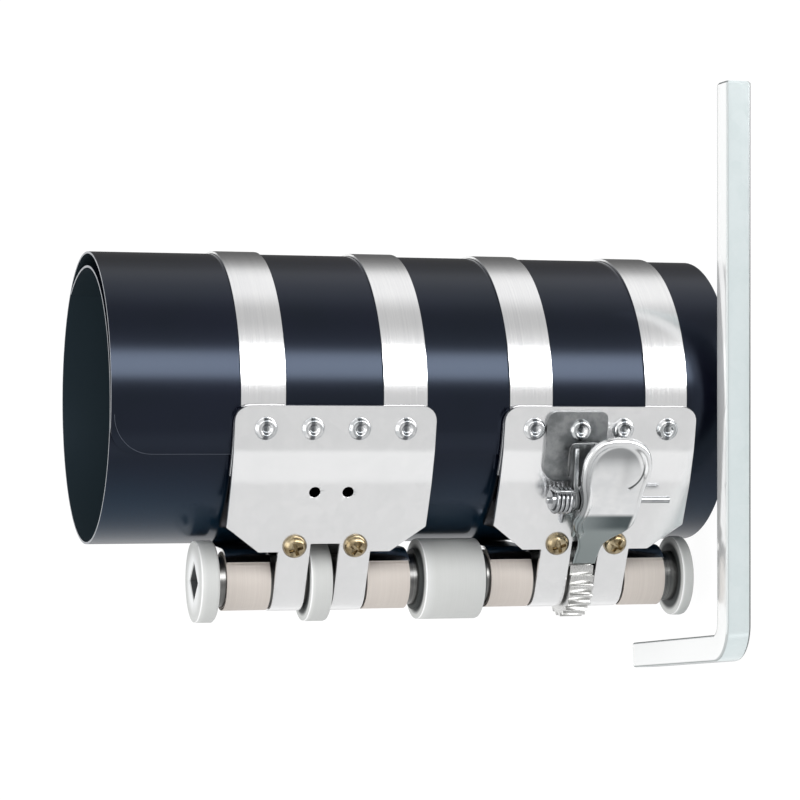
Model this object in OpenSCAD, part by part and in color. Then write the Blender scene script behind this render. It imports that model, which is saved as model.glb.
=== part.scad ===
// Piston ring compressor: a coiled spring steel sleeve, four tightening bands that
// wind on one arbor, two folded clamp plates that carry the arbor, a ratchet with
// its pawl, and a loose square key. The bore axis is Z and the lower rim is Z = 0.

/* [Sleeve] */
// Bore diameter at this setting, which is the diameter of the piston
bore_d = 64.6; // [60:0.2:72]
// Length of the sleeve
sleeve_len = 150; // [140:1:180]
// Thickness of the spring steel sheet
sleeve_t = 0.5; // [0.4:0.05:0.6]
// Half of the widest gap that the overlapping layers leave between their mid lines
layer_step = 1.65; // [1.4:0.05:2]
// Angle past the front at which the outer edge of the sheet ends
edge_angle = 18.5; // [16:0.5:22]
// Radius of the rounded corners of the outer edge
edge_corner_r = 6; // [3:0.5:8]

/* [Bands] */
// Width of each band
band_w = 10.4; // [8:0.2:11]
// Thickness of each band
band_t = 0.5; // [0.4:0.05:0.6]
// Angle over which the free run of a band lies on its own coil
band_lap = 50; // [20:5:80]

/* [Clamp plates] */
// Thickness of the folded sheet
plate_t = 1; // [0.8:0.1:1.2]
// Height of each plate
plate_h = 47.5; // [46:0.5:50]
// Height of the middle of the lower plate above the lower rim
lower_plate_z = 34.3; // [33:0.1:38]
// Distance between the middles of the two plates
plate_pitch = 64.1; // [60:0.1:68]
// Width of each of the two ears that carry the arbor
ear_w = 7.6; // [6.6:0.1:8]
// Width of the slot between the ears
slot_w = 6.9; // [6.6:0.1:7.4]
// Distance between neighbouring rivets
rivet_pitch = 11; // [10.6:0.1:11.2]
// Diameter of a rivet head
rivet_head_d = 5.3; // [4.6:0.1:5.8]
// Diameter of a screw head
screw_head_d = 5.7; // [5:0.1:6.2]

/* [Winding arbor] */
// Diameter of the arbor rod
arbor_d = 12; // [11:0.2:12.4]
// Diameter of the flanges, the collar, the guide disc and the ratchet
disc_d = 19.2; // [18:0.2:20]
// Thickness of the top flange
top_flange_t = 4.4; // [3.6:0.2:5.6]
// Thickness of the bottom flange
bottom_flange_t = 2.8; // [2:0.2:3.6]
// Thickness of the guide disc
guide_t = 5.2; // [4.4:0.2:5.6]
// Side of the square socket
socket_w = 6.5; // [6.2:0.1:6.8]
// Depth of each square socket
socket_depth = 16; // [10:1:24]

/* [Ratchet and pawl] */
// Number of teeth
tooth_count = 24; // [20:1:28]
// Depth of a tooth
tooth_depth = 1.2; // [0.9:0.1:1.4]
// Thickness of the ratchet wheel
ratchet_t = 5.8; // [5:0.2:6]
// Width of the thumb pad
pad_w = 17; // [16:0.5:18]
// Diameter of the pawl pin
pin_d = 1.6; // [1.4:0.1:2]
// Wire diameter of the pawl spring
spring_wire_d = 0.9; // [0.6:0.1:1]
// Full turns of the pawl spring
spring_turns = 4; // [3:1:4]

/* [Key] */
// Side of the square key bar
key_w = 6.3; // [5.6:0.1:6.3]
// Length of the long arm
key_long = 137; // [110:1:150]
// Length of the short arm
key_short = 63; // [50:1:70]
// Angle between the two arms
key_bend = 96; // [90:1:100]
// Angle by which the key lies turned on the floor
key_yaw = 1.6; // [0:0.1:3]

/* [Hidden] */
$fn = 128;
// Gaps between pieces that lie on each other, that are pressed or riveted, and that run free
lie_gap = 0.1;
rest_gap = 0.04;
press_gap = 0.02;
run_gap = 0.05;
free_gap = 0.15;
// Seam between two stretches of one sheet, and the tongue that bridges it
seam = 0.01;
tongue = 0.3;
tongue_in = 0.03;

// Centre lines of the sheet: the bore, the back, the outer layer and the free inner end
core_r = bore_d / 2 + sleeve_t / 2;
back_r = core_r + layer_step;
reach = core_r + 2 * layer_step;
edge_r = core_r + sleeve_t + free_gap;
edge_x = edge_r * sin(edge_angle);
outer_x = (reach * reach - edge_r * edge_r) / (2 * (edge_x + reach));
outer_r = reach - outer_x;
outer_end = 270 - asin((edge_x + outer_x) / outer_r);
tail_r = 1.38 * core_r;
tail_x = core_r - tail_r;
tail_off = layer_step - tail_x;
tail_stop_r = back_r - sleeve_t - free_gap;
tail_end = acos((tail_r ^ 2 + tail_off ^ 2 - tail_stop_r ^ 2) / (2 * tail_r * tail_off));

// Winding arbor
arbor_r = arbor_d / 2;
disc_r = disc_d / 2;
arbor_angle = 200.2;
arbor_gap = 1.1;
arbor_c = (bore_d / 2 + sleeve_t + disc_r + arbor_gap) * [cos(arbor_angle), sin(arbor_angle)];
coil_r = arbor_r + 2 * band_t;
ear_r = arbor_r + run_gap + plate_t / 2;

// Levels along the arbor, from the ears outwards: a coil beside each ear, then the discs
upper_plate_z = lower_plate_z + plate_pitch;
ear_mid = (slot_w + ear_w) / 2;
ear_out = slot_w / 2 + ear_w;
band_gap = 0.55;
band_offset = ear_out + band_gap + band_w / 2;
flange_gap = 2.2;
bottom_gap = 3.7;
collar_low_gap = 1.25;
collar_high_gap = 2.25;
top_flange_z = band_z(0) + band_w / 2 + flange_gap;
arbor_top_z = top_flange_z + top_flange_t;
arbor_bottom_z = band_z(3) - band_w / 2 - bottom_gap - bottom_flange_t;
collar_low_z = band_z(2) + band_w / 2 + collar_low_gap;
collar_high_z = band_z(1) - band_w / 2 - collar_high_gap;
cap_seat = top_flange_t / 2;
edge_cut = 0.45;
hub_r = arbor_r + 1.2;
hub_len = 0.9;

// Folded sheet of a clamp plate, seen along the bore: the back leaf follows the outer
// layer, the front leaf has three flats and the last one runs on to the ears
back_leaf_r = outer_r + sleeve_t / 2 + lie_gap + band_t + rest_gap + plate_t / 2;
front_leaf_r = back_leaf_r + plate_t + rest_gap;
rivet_angle = 10.3;
leaf_edge = 5;
flat1_len = 5.27;
flat2_tilt = 17.5;
flat2_len = 7.86;
rivet_c = [outer_x, 0] + front_leaf_r * outward(rivet_angle);
bend1 = rivet_c + flat1_len * along(rivet_angle);
bend2 = bend1 + flat2_len * along(flat2_tilt);
to_arbor = arbor_c - bend2;
flat3_len = sqrt(to_arbor * to_arbor - ear_r ^ 2);
flat3_tilt = atan2(to_arbor[1], -to_arbor[0]) - asin(ear_r / norm(to_arbor));
cross_v = arbor_c - [outer_x, 0];
cross_angle = atan2(cross_v[1], cross_v[0]) + 360;
cross_turn = acos((back_leaf_r + ear_r) / norm(cross_v));
back_start = cross_angle + cross_turn;
back_stop = 268.2;
back_run = [outer_x, 0] + back_leaf_r * polar(back_start);
ear_end = arbor_c + ear_r * polar(back_start - 180);
leaf_corner_r = 3.6;
chamfer_h = 8;
front_full = 11.1;
front_edge = 17.5;
slot_end = 15.4;
back_full_x = bend2[0] - 10.2;
back_edge_x = bend2[0] - 12.8;
split_y = arbor_c[1] - 6.4;

// Fasteners
rivet_shank_r = 1.5;
rivet_head_t = 0.9;
rivet_tail_t = 0.25;
screw_r = 1.25;
screw_u = 15.9;
hole_u = 2.1;
hole_pitch = 7.9;
hole_r = 1.3;

// Pawl, in the plane of the third flat: u runs towards the arbor and h away from the plate
pin_r = pin_d / 2;
pin_at = [2.4, 4.6];
pin_c = on_plate(pin_at[0], pin_at[1]);
pin_low = 17;
pin_high = 13.2;
lever_t = 1;
knee_u = 14.6;
knee_h = 3.7;
hip_u = 4.6;
hip_h = 8.4;
crown_u = -4;
crown_h = 10.2;
pad_u = -15.9;
pad_h = 9.4;
pad_shift = 1;
neck_u = 15.4;
waist_u = 12.4;
waist_in = 3.5;
flare_u = 8.4;
flare_in = 1.1;
dip_u = 1.6;
dip_in = 1.3;
rim_w = 2.2;
rim_up = 0.7;
rim_stop = 10.4;
under_u = 0.3;
tip_gap = 0.35;
tip_h = 0.35;
tip_w = 6.2;
tip_top = tip_h + lever_t / 2;
tip_low = tip_h - lever_t / 2;
tip_u = tip_at(tip_top);
tooth_phase = 0.24;
cheek_t = 1;
cheek_r = 2;
cheek_in = 4.6;
bracket_t = 1;
bracket_in = 5.8;
bracket_up = 13.8;
bracket_down = 1.2;
bracket_wide_x = -8;
bracket_edge = 3.4;
bracket_corner_r = 2.4;
bracket_round_r = 3.4;
spring_r = 2.75;
spring_wire_r = spring_wire_d / 2;
spring_z = lower_plate_z + bracket_in + bracket_t + free_gap + spring_wire_r;
spring_pitch = spring_wire_d + 0.15;
spring_steps = 16;
spring_hook = [pin_at[0] - spring_r - 0.6, pin_at[1] + spring_r - 0.35];

// Key
key_bend_r = 3 + key_w / 2;
key_corner = [-50.2, -43];

// Directions on a flat whose tilt is measured from the X axis
function polar(angle) = [cos(angle), sin(angle)];
function outward(tilt) = [-sin(tilt), -cos(tilt)];
function along(tilt) = [-cos(tilt), sin(tilt)];
function on_plate(u, h) = bend2 + u * along(flat3_tilt) + h * outward(flat3_tilt);
function to_plate(p) = [(p - bend2) * along(flat3_tilt), (p - bend2) * outward(flat3_tilt)];
function fold(p, tilt_a, tilt_b, off) =
  p + off / cos((tilt_b - tilt_a) / 2) * outward((tilt_a + tilt_b) / 2);

// Line of the front leaf at a distance off outwards, from a length before the rivets to a length on flat 3
function leaf_line(off, before, length) = [
  rivet_c - before * along(rivet_angle) + off * outward(rivet_angle),
  fold(bend1, rivet_angle, flat2_tilt, off),
  fold(bend2, flat2_tilt, flat3_tilt, off),
  on_plate(length, off)
];
function backwards(list) = [for (i = [len(list) - 1:-1:0]) list[i]];

// Length on the third flat at which the tip of the pawl clears the teeth, at a height h
function tip_at(h) = flat3_len - sqrt((disc_r + tip_gap) ^ 2 - (h + ear_r) ^ 2);

// Depth of the back leaf behind the third flat, at a length u on it
function back_h(u) =
  let (a = to_plate(back_run), b = to_plate(ear_end))
  a[1] + (u - a[0]) * (b[1] - a[1]) / (b[0] - a[0]);

// Height of a band: two on each plate
function band_z(i) = (i < 2 ? upper_plate_z : lower_plate_z) + (i % 2 == 0 ? 1 : -1) * band_offset;

// Ring sector about the origin, given by its mid radius
module arc_strip(radius, thick, from, to) {
  steps = ceil((to - from) / 45);
  intersection() {
    difference() {
      circle(radius + thick / 2);
      circle(radius - thick / 2);
    }
    polygon(concat([[0, 0]], [for (i = [0:steps]) 1.5 * radius * polar(from + (to - from) * i / steps)]));
  }
}

// Flat strip between two bends of one sheet, with a tongue at each end that reaches into the bend
module linked_strip(a, b, thick, ends = [1, 1]) {
  d = (b - a) / norm(b - a);
  n = [-d[1], d[0]] * thick / 2;
  m = [-d[1], d[0]] * (thick / 2 - tongue_in);
  from = a + ends[0] * seam * d;
  to = b - ends[1] * seam * d;
  far_from = a - ends[0] * tongue * d;
  far_to = b + ends[1] * tongue * d;
  polygon([
    from + n, from + m, far_from + m, far_from - m, from - m, from - n,
    to - n, to - m, far_to - m, far_to + m, to + m, to + n
  ]);
}

// Stretches of one sheet, each raised to the same height
module sheet(height) {
  for (i = [0:$children - 1])
    linear_extrude(height)
      children(i);
}

// Strip of the front leaf between two distances from its mid line
module leaf_strip(low, high, before, length) {
  polygon(concat(leaf_line(low, before, length), backwards(leaf_line(high, before, length))));
}

// Solid that stands on the third flat: u, h and height become its x, y and z
module at_plate(u, h, z) {
  translate([on_plate(u, h)[0], on_plate(u, h)[1], z])
    rotate([0, 0, 180 - flat3_tilt])
      children();
}

// Solid on a rivet axis, with its +Z outwards from the front leaf
module at_rivet(z, out) {
  p = [outer_x, 0] + (front_leaf_r + out) * outward(rivet_angle);
  translate([p[0], p[1], z])
    rotate([0, 0, -rivet_angle])
      rotate([90, 0, 0])
        children();
}

// Solid on an axis square to the third flat, with its +Z outwards
module on_flat3(u, h, z) {
  at_plate(u, h, z)
    rotate([-90, 0, 0])
      children();
}

// Corner that rounds a square edge: what stays outside the circle
module corner_cut(r) {
  difference() {
    translate([-1, -1])
      square([r + 1, r + 1]);
    translate([r, r])
      circle(r);
  }
}

// Prism along Y from one plane towards the front
module prism_y(from, length) {
  translate([0, from, 0])
    rotate([90, 0, 0])
      linear_extrude(length)
        children();
}

// Outer layer of the sheet, with its rounded corners and the holes of the rivets
module outer_layer() {
  difference() {
    translate([outer_x, 0, 0])
      linear_extrude(sleeve_len)
        arc_strip(outer_r, sleeve_t, outer_end, 360);
    for (top = [0, 1])
      translate([-edge_x, 0, top * sleeve_len])
        mirror([0, 0, top])
          prism_y(0, bore_d)
            corner_cut(edge_corner_r);
    for (z = [lower_plate_z, upper_plate_z], i = [-1.5:1.5])
      at_rivet(z + i * rivet_pitch, -4 * plate_t)
        cylinder(h = 4 * plate_t, r = rivet_shank_r + press_gap);
  }
}

module sleeve() {
  color([0.13, 0.15, 0.2]) {
    outer_layer();
    linear_extrude(sleeve_len) {
      arc_strip(core_r, sleeve_t, 180, 360);
      translate([tail_x, 0])
        arc_strip(tail_r, sleeve_t, 0, tail_end);
      translate([layer_step, 0])
        arc_strip(back_r, sleeve_t, 0, 180);
    }
  }
}

// Band round the outside of the sleeve, and on to lie on its coil
module band(i) {
  outer_band_r = outer_r + sleeve_t / 2 + lie_gap + band_t / 2;
  back_band_r = back_r + sleeve_t / 2 + lie_gap + band_t / 2;
  lap_r = coil_r + free_gap + band_t / 2;
  v = arbor_c - [layer_step, 0];
  leave = atan2(v[1], v[0]) + 360 - acos((back_band_r + lap_r) / norm(v));
  start = 270 - rivet_angle - 5;
  color([0.78, 0.79, 0.8])
    difference() {
      translate([0, 0, band_z(i) - band_w / 2])
        sheet(band_w) {
          translate([outer_x, 0])
            arc_strip(outer_band_r, band_t, start, 360);
          translate([layer_step, 0])
            arc_strip(back_band_r, band_t, 0, leave);
          linked_strip([layer_step, 0] + back_band_r * polar(leave), arbor_c - lap_r * polar(leave), band_t);
          translate(arbor_c)
            arc_strip(lap_r, band_t, leave - 180 - band_lap, leave - 180);
        }
      at_rivet(band_z(i) - (i % 2 == 0 ? 1 : -1) * (band_offset - 1.5 * rivet_pitch), -4 * plate_t)
        cylinder(h = 4 * plate_t, r = rivet_shank_r + press_gap);
    }
}

// Turns of a band that lie wound on the rod
module band_coil(i) {
  color([0.7, 0.68, 0.64])
    translate([arbor_c[0], arbor_c[1], band_z(i) - band_w / 2])
      difference() {
        cylinder(h = band_w, r = coil_r);
        translate([0, 0, -1])
          cylinder(h = band_w + 2, r = arbor_r + press_gap);
      }
}

// Rim of a disc with broken edges, as points of radius and height
function disc_rim(low, high) = [
  [disc_r - edge_cut, low],
  [disc_r, low + edge_cut],
  [disc_r, high - edge_cut],
  [disc_r - edge_cut, high]
];

// Disc turned about the arbor axis, with a bore for the rod
module turned_disc(low, high) {
  inside = arbor_r + press_gap;
  translate([arbor_c[0], arbor_c[1], 0])
    rotate_extrude()
      polygon(concat(disc_rim(low, high), [[inside, high], [inside, low]]));
}

// Half outline of a leaf seen from the front: full width, chamfer, then its lower edge
module leaf_outline(edge, full, low) {
  polygon([
    [edge, -plate_h / 2],
    [full, -plate_h / 2],
    [low, chamfer_h - plate_h / 2],
    [low, plate_h / 2 - chamfer_h],
    [full, plate_h / 2],
    [edge, plate_h / 2]
  ]);
}

// What a leaf loses: all outside its outline but the ears
module leaf_cut(edge, full, low, corner_x) {
  far = 2 * bore_d;
  difference() {
    translate([-far, -plate_h])
      square([far + edge, 2 * plate_h]);
    leaf_outline(edge, full, low);
    for (side = [-1, 1])
      translate([-far, side * ear_mid - ear_w / 2])
        square([far + low + ear_w, ear_w]);
  }
  for (side = [0, 1])
    mirror([0, side])
      translate([corner_x, -plate_h / 2])
        mirror([1, 0])
          corner_cut(leaf_corner_r);
}

module clamp_plate(z) {
  front_x = leaf_line(0, leaf_edge, 0)[0][0];
  back_x = outer_x + back_leaf_r * cos(back_stop);
  slot_x = on_plate(slot_end, 0)[0];
  color([0.86, 0.86, 0.85])
    difference() {
      translate([0, 0, z - plate_h / 2])
        sheet(plate_h) {
          leaf_strip(-plate_t / 2, plate_t / 2, leaf_edge, front_full);
          linked_strip(on_plate(front_full - 1, 0), on_plate(flat3_len, 0), plate_t, [0, 1]);
          translate(arbor_c)
            arc_strip(ear_r, plate_t, back_start - 180, 270 - flat3_tilt);
          linked_strip(ear_end, back_run, plate_t);
          translate([outer_x, 0])
            arc_strip(back_leaf_r, plate_t, back_start, back_stop);
        }
      translate([0, 0, z])
        prism_y(split_y, bore_d)
          leaf_cut(front_x + 2, on_plate(front_full, 0)[0], on_plate(front_edge, 0)[0], front_x);
      translate([0, 0, z])
        prism_y(split_y + bore_d, bore_d)
          leaf_cut(back_x + 2, back_full_x, back_edge_x, back_x);
      translate([slot_x - bore_d, -bore_d, z - slot_w / 2])
        cube([bore_d, 2 * bore_d, slot_w]);
      for (i = [-1.5:1.5])
        at_rivet(z + i * rivet_pitch, -4 * plate_t)
          cylinder(h = 8 * plate_t, r = rivet_shank_r + press_gap);
      for (side = [-1, 1])
        on_flat3(screw_u, back_h(screw_u) - 2 * plate_t, z + side * ear_mid)
          cylinder(h = 4 * plate_t - back_h(screw_u), r = screw_r + press_gap);
      for (side = [-1, 1])
        on_flat3(hole_u, -plate_t, z + side * hole_pitch / 2)
          cylinder(h = 2 * plate_t, r = hole_r);
    }
}

// Dimpled rivet from the front leaf to the inside of the outer layer
module rivet(z, grip) {
  stack = front_leaf_r - outer_r + sleeve_t / 2 + 2 * rest_gap;
  dimple_r = 1.6;
  at_rivet(z, plate_t / 2 + grip + press_gap)
    difference() {
      cylinder(h = rivet_head_t, r1 = rivet_head_d / 2, r2 = rivet_head_d / 2 - 0.4);
      translate([0, 0, rivet_head_t + dimple_r / 2])
        sphere(dimple_r);
    }
  at_rivet(z, -stack - rivet_tail_t / 2)
    cylinder(h = stack + rivet_tail_t / 2 + plate_t / 2 + grip + 2 * press_gap, r = rivet_shank_r);
  at_rivet(z, -stack - rivet_tail_t)
    cylinder(h = rivet_tail_t, r = rivet_shank_r + 0.4);
}

module upper_plate_rivets() {
  color([0.74, 0.75, 0.76])
    for (i = [-1.5:1.5])
      rivet(upper_plate_z + i * rivet_pitch, 0);
}

// The second rivet from the top also holds the pawl bracket
module lower_plate_rivets() {
  color([0.74, 0.75, 0.76])
    for (i = [-1.5:1.5])
      rivet(lower_plate_z + i * rivet_pitch, i == 0.5 ? bracket_t + press_gap : 0);
}

// Pan head screws with a cross recess, one at the root of each ear
module plate_screws(z) {
  head_h = 1.7;
  cross_w = 0.8;
  color([0.72, 0.6, 0.36])
    for (side = [-1, 1])
      on_flat3(screw_u, plate_t / 2 + press_gap, z + side * ear_mid)
        difference() {
          union() {
            cylinder(h = head_h / 2, r = screw_head_d / 2);
            translate([0, 0, head_h / 2])
              cylinder(h = head_h / 2, r1 = screw_head_d / 2, r2 = screw_head_d / 3);
            translate([0, 0, back_h(screw_u) - plate_t])
              cylinder(h = plate_t - back_h(screw_u) + press_gap, r = screw_r);
          }
          for (turn = [45, 135])
            rotate([0, 0, turn])
              translate([-screw_head_d / 4, -cross_w / 2, head_h / 2])
                cube([screw_head_d / 2, cross_w, head_h]);
        }
}

// Square drive socket with its corners on the X and Y directions
module socket(from, to) {
  translate([arbor_c[0], arbor_c[1], from])
    rotate([0, 0, 45])
      translate([-socket_w / 2, -socket_w / 2, 0])
        cube([socket_w, socket_w, to - from]);
}

module arbor_shaft() {
  shaft_top = arbor_top_z - cap_seat;
  color([0.66, 0.66, 0.65])
    difference() {
      translate([arbor_c[0], arbor_c[1], arbor_bottom_z])
        cylinder(h = shaft_top - arbor_bottom_z, r = arbor_r);
      socket(arbor_bottom_z - 1, arbor_bottom_z + socket_depth);
      socket(arbor_top_z - socket_depth, arbor_top_z);
    }
}

// Cap that sits over the end of the rod and carries the mouth of the socket
module top_flange() {
  color([0.82, 0.82, 0.82])
    difference() {
      translate([arbor_c[0], arbor_c[1], top_flange_z])
        rotate_extrude()
          polygon(concat(disc_rim(0, top_flange_t), [[0, top_flange_t], [0, 0]]));
      translate([arbor_c[0], arbor_c[1], top_flange_z - 1])
        cylinder(h = top_flange_t - cap_seat + 1 + press_gap, r = arbor_r + press_gap);
      socket(top_flange_z, arbor_top_z + 1);
    }
}

module bottom_flange() {
  color([0.82, 0.82, 0.82])
    turned_disc(arbor_bottom_z, arbor_bottom_z + bottom_flange_t);
}

// Collar with a short hub at each end
module middle_collar() {
  inside = arbor_r + press_gap;
  low = collar_low_z + hub_len;
  high = collar_high_z - hub_len;
  low_hub = [[inside, collar_low_z], [hub_r, collar_low_z], [hub_r, low]];
  high_hub = [[hub_r, high], [hub_r, collar_high_z], [inside, collar_high_z]];
  color([0.8, 0.8, 0.8])
    translate([arbor_c[0], arbor_c[1], 0])
      rotate_extrude()
        polygon(concat(low_hub, disc_rim(low, high), high_hub));
}

module guide_disc() {
  color([0.8, 0.8, 0.8])
    turned_disc(upper_plate_z - guide_t / 2, upper_plate_z + guide_t / 2);
}

// Saw teeth: each one climbs against the clock and drops straight at its end
module ratchet_wheel() {
  step = 360 / tooth_count;
  tip_angle = atan2(tip_top + ear_r, tip_u - flat3_len) + 180 - flat3_tilt;
  root_r = disc_r - tooth_depth;
  color([0.78, 0.78, 0.77])
    translate([arbor_c[0], arbor_c[1], lower_plate_z - ratchet_t / 2])
      difference() {
        linear_extrude(ratchet_t)
          polygon([
            for (i = [0:tooth_count - 1], end = [0, 1])
              (end == 0 ? root_r : disc_r) * polar(tip_angle + (tooth_phase + i + end * 0.9) * step)
          ]);
        translate([0, 0, -1])
          cylinder(h = ratchet_t + 2, r = arbor_r + press_gap);
      }
}

// Tab on the plate with two upright ears for the pawl pin
module pawl_bracket() {
  low = plate_t / 2 + press_gap;
  high = low + bracket_t;
  ear_top = 2.4;
  ear_u = pin_at[0] + 2.2;
  tab_u = ear_u + 0.4;
  ear_line = leaf_line(low + bracket_t / 2, bracket_edge, ear_u);
  tab_x = leaf_line(low + bracket_t / 2, bracket_edge, 0)[0][0];
  tab_low_x = bend2[0] + 0.4;
  color([0.45, 0.46, 0.47])
    difference() {
      union() {
        translate([0, 0, lower_plate_z - bracket_in - bracket_t])
          linear_extrude(bracket_in + bracket_t + bracket_up)
            intersection() {
              leaf_strip(low, high, bracket_edge, tab_u);
              translate([tab_low_x, -bore_d])
                square([bore_d, bore_d]);
            }
        translate([0, 0, lower_plate_z - bracket_in])
          linear_extrude(2 * bracket_in)
            leaf_strip(low, high, bracket_edge, tab_u);
        for (side = [-1, 1])
          translate([0, 0, lower_plate_z + side * (bracket_in + bracket_t / 2) - bracket_t / 2])
            linear_extrude(bracket_t) {
              polygon(concat(
                [ear_line[1], ear_line[2]],
                [on_plate(ear_u, pin_at[1] - 0.6), on_plate(ear_u, pin_at[1])],
                [on_plate(pin_at[0], pin_at[1] + ear_top)]
              ));
              translate(pin_c)
                circle(ear_top);
            }
      }
      translate([tab_x, 0, lower_plate_z + bracket_up])
        prism_y(0, bore_d)
          rotate(180)
            corner_cut(bracket_corner_r);
      translate([tab_low_x, 0, lower_plate_z + bracket_up])
        prism_y(0, bore_d)
          mirror([0, 1])
            corner_cut(bracket_round_r);
      translate([bracket_wide_x, -bore_d, lower_plate_z - bore_d - bracket_down])
        cube([bore_d, bore_d, bore_d]);
      at_rivet(lower_plate_z + rivet_pitch / 2, 0)
        cylinder(h = 4 * plate_t, r = rivet_shank_r + press_gap);
      for (side = [-1, 1])
        on_flat3(hole_u, 0, lower_plate_z + side * hole_pitch / 2)
          cylinder(h = 3 * plate_t, r = hole_r);
      translate([pin_c[0], pin_c[1], 0])
        cylinder(h = upper_plate_z, r = pin_r + press_gap);
    }
}

module bracket_rivets() {
  head_r = 1.75;
  head_t = 0.6;
  color([0.7, 0.71, 0.72])
    for (side = [-1, 1]) {
      on_flat3(hole_u, plate_t / 2 + bracket_t + 2 * press_gap, lower_plate_z + side * hole_pitch / 2)
        cylinder(h = head_t, r1 = head_r, r2 = head_r - 0.4);
      on_flat3(hole_u, -plate_t / 2 - head_t / 2, lower_plate_z + side * hole_pitch / 2)
        cylinder(h = plate_t + bracket_t + head_t, r = hole_r - press_gap);
      on_flat3(hole_u, -plate_t / 2 - press_gap - head_t, lower_plate_z + side * hole_pitch / 2)
        cylinder(h = head_t, r = head_r);
    }
}

// One side of the lever from the tongue to the pad, for a half width of the pad and an inset from the edge
function lever_side(half, inset) = [
  [tip_u + lever_t, tip_w / 2 - inset],
  [neck_u, tip_w / 2 - inset],
  [waist_u, half - waist_in - inset],
  [flare_u, half - flare_in - inset],
  [dip_u, half - dip_in - inset],
  [pad_u + pad_w / 2, half - tongue_in - inset]
];

// Column over the lever's outline seen square to the plate: tongue, neck and a round pad set to one side
module lever_column(inset) {
  upper = lever_side(pad_w / 2 - pad_shift, inset);
  lower = [for (p = lever_side(pad_w / 2 + pad_shift, inset)) [p[0], -p[1]]];
  translate([0, disc_d, 0])
    rotate([90, 0, 0])
      sheet(2 * disc_d) {
        polygon(concat(upper, backwards(lower)));
        translate([pad_u + pad_w / 2, -pad_shift])
          circle(pad_w / 2 - inset);
      }
}

// Prism across the lever over a profile of u and h
module lever_prism(profile) {
  translate([0, 0, -pad_w])
    linear_extrude(2 * pad_w)
      polygon(profile);
}

// Stamped lever: a bent sheet with a rolled rim round its pad, and two cheeks that hang on the pin
module pawl_lever() {
  bends = [[knee_u, knee_h], [hip_u, hip_h], [crown_u, crown_h], [pad_u - under_u, pad_h]];
  top = concat([[tip_u, tip_top]], bends);
  under = concat([for (p = backwards(bends)) p - [under_u, lever_t]], [[tip_at(tip_low), tip_low]]);
  rim_root = [rim_stop, knee_h + (hip_h - knee_h) * (knee_u - rim_stop) / (knee_u - hip_u)];
  rim_bends = [bends[1], bends[2], bends[3]];
  color([0.75, 0.76, 0.78])
    at_plate(0, 0, lower_plate_z)
      difference() {
        union() {
          intersection() {
            union() {
              lever_prism(concat(top, under));
              difference() {
                lever_prism(concat(
                  [rim_root],
                  [for (p = rim_bends) p + [0, rim_up]],
                  [for (p = backwards(rim_bends)) p - [0, lever_t / 2]],
                  [rim_root - [0, lever_t / 2]]
                ));
                lever_column(rim_w);
              }
            }
            lever_column(0);
          }
          for (side = [-1, 1])
            translate([0, 0, side * (cheek_in + cheek_t / 2) - cheek_t / 2])
              linear_extrude(cheek_t) {
                translate(pin_at)
                  circle(cheek_r);
                polygon([
                  pin_at - [cheek_r, 0],
                  pin_at + [cheek_r, 0],
                  [hip_u + 1.3 * cheek_r, hip_h - cheek_r],
                  [hip_u, hip_h - lever_t / 2],
                  [crown_u, crown_h - lever_t / 2],
                  [crown_u - cheek_r, crown_h - lever_t / 2]
                ]);
              }
        }
        translate([pin_at[0], pin_at[1], -pad_w])
          cylinder(h = 2 * pad_w, r = pin_r + run_gap);
      }
}

// Pin with a long tail below the bracket, and a bush that carries the turns of the spring
module pawl_pin() {
  bush_z = lower_plate_z + bracket_in + bracket_t + rest_gap;
  color([0.7, 0.71, 0.72])
    translate([pin_c[0], pin_c[1], 0]) {
      translate([0, 0, pin_low])
        cylinder(h = lower_plate_z + pin_high - pin_low, r = pin_r);
      translate([0, 0, bush_z])
        cylinder(h = lower_plate_z + pin_high - bush_z - pin_r, r = spring_r - spring_wire_r - run_gap);
    }
}

// Wire of the spring: a leg on the plate, the turns about the pin and a hook below the pad
function spring_turn(i) =
  let (turn = -90 - 360 * i / spring_steps)
  [
    pin_at[0] + spring_r * cos(turn),
    pin_at[1] + spring_r * sin(turn),
    spring_z + spring_pitch * i / spring_steps
  ];
function spring_path() =
  let (
    count = spring_steps * (spring_turns + 0.25),
    high = spring_z + spring_pitch * (spring_turns + 0.25)
  )
  concat(
    [[pin_at[0] + 7.5, plate_t / 2 + rest_gap + spring_wire_r, spring_z]],
    [[pin_at[0] + 3.5, pin_at[1] - spring_r - 0.15, spring_z]],
    [for (i = [0:count]) spring_turn(i)],
    [[spring_hook[0] + 0.2, spring_hook[1] - 0.9, high]],
    [[spring_hook[0], spring_hook[1] - 0.2, high - 0.25]],
    [[spring_hook[0], spring_hook[1], high - 0.9]],
    [[spring_hook[0], spring_hook[1], lower_plate_z + cheek_in + cheek_t + free_gap]]
  );

// Round wire along a list of points
module swept_wire(path, r, sides) {
  n = len(path);
  ring_points = [
    for (i = [0:n - 1])
      let (
        t = path[min(i + 1, n - 1)] - path[max(i - 1, 0)],
        d = t / norm(t),
        across = cross(d, [0.4, 0.3, 0.87]),
        a = across / norm(across),
        b = cross(d, a)
      )
      for (k = [0:sides - 1])
        path[i] + r * (cos(360 * k / sides) * a + sin(360 * k / sides) * b)
  ];
  walls = [
    for (i = [0:n - 2], k = [0:sides - 1])
      let (next = (k + 1) % sides)
      [i * sides + k, i * sides + next, (i + 1) * sides + next, (i + 1) * sides + k]
  ];
  ends = [
    [for (k = [sides - 1:-1:0]) k],
    [for (k = [0:sides - 1]) (n - 1) * sides + k]
  ];
  polyhedron(points = ring_points, faces = concat(walls, ends), convexity = 6);
}

module pawl_spring() {
  color([0.5, 0.51, 0.52])
    at_plate(0, 0, 0)
      swept_wire(spring_path(), spring_wire_r, 8);
}

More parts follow.
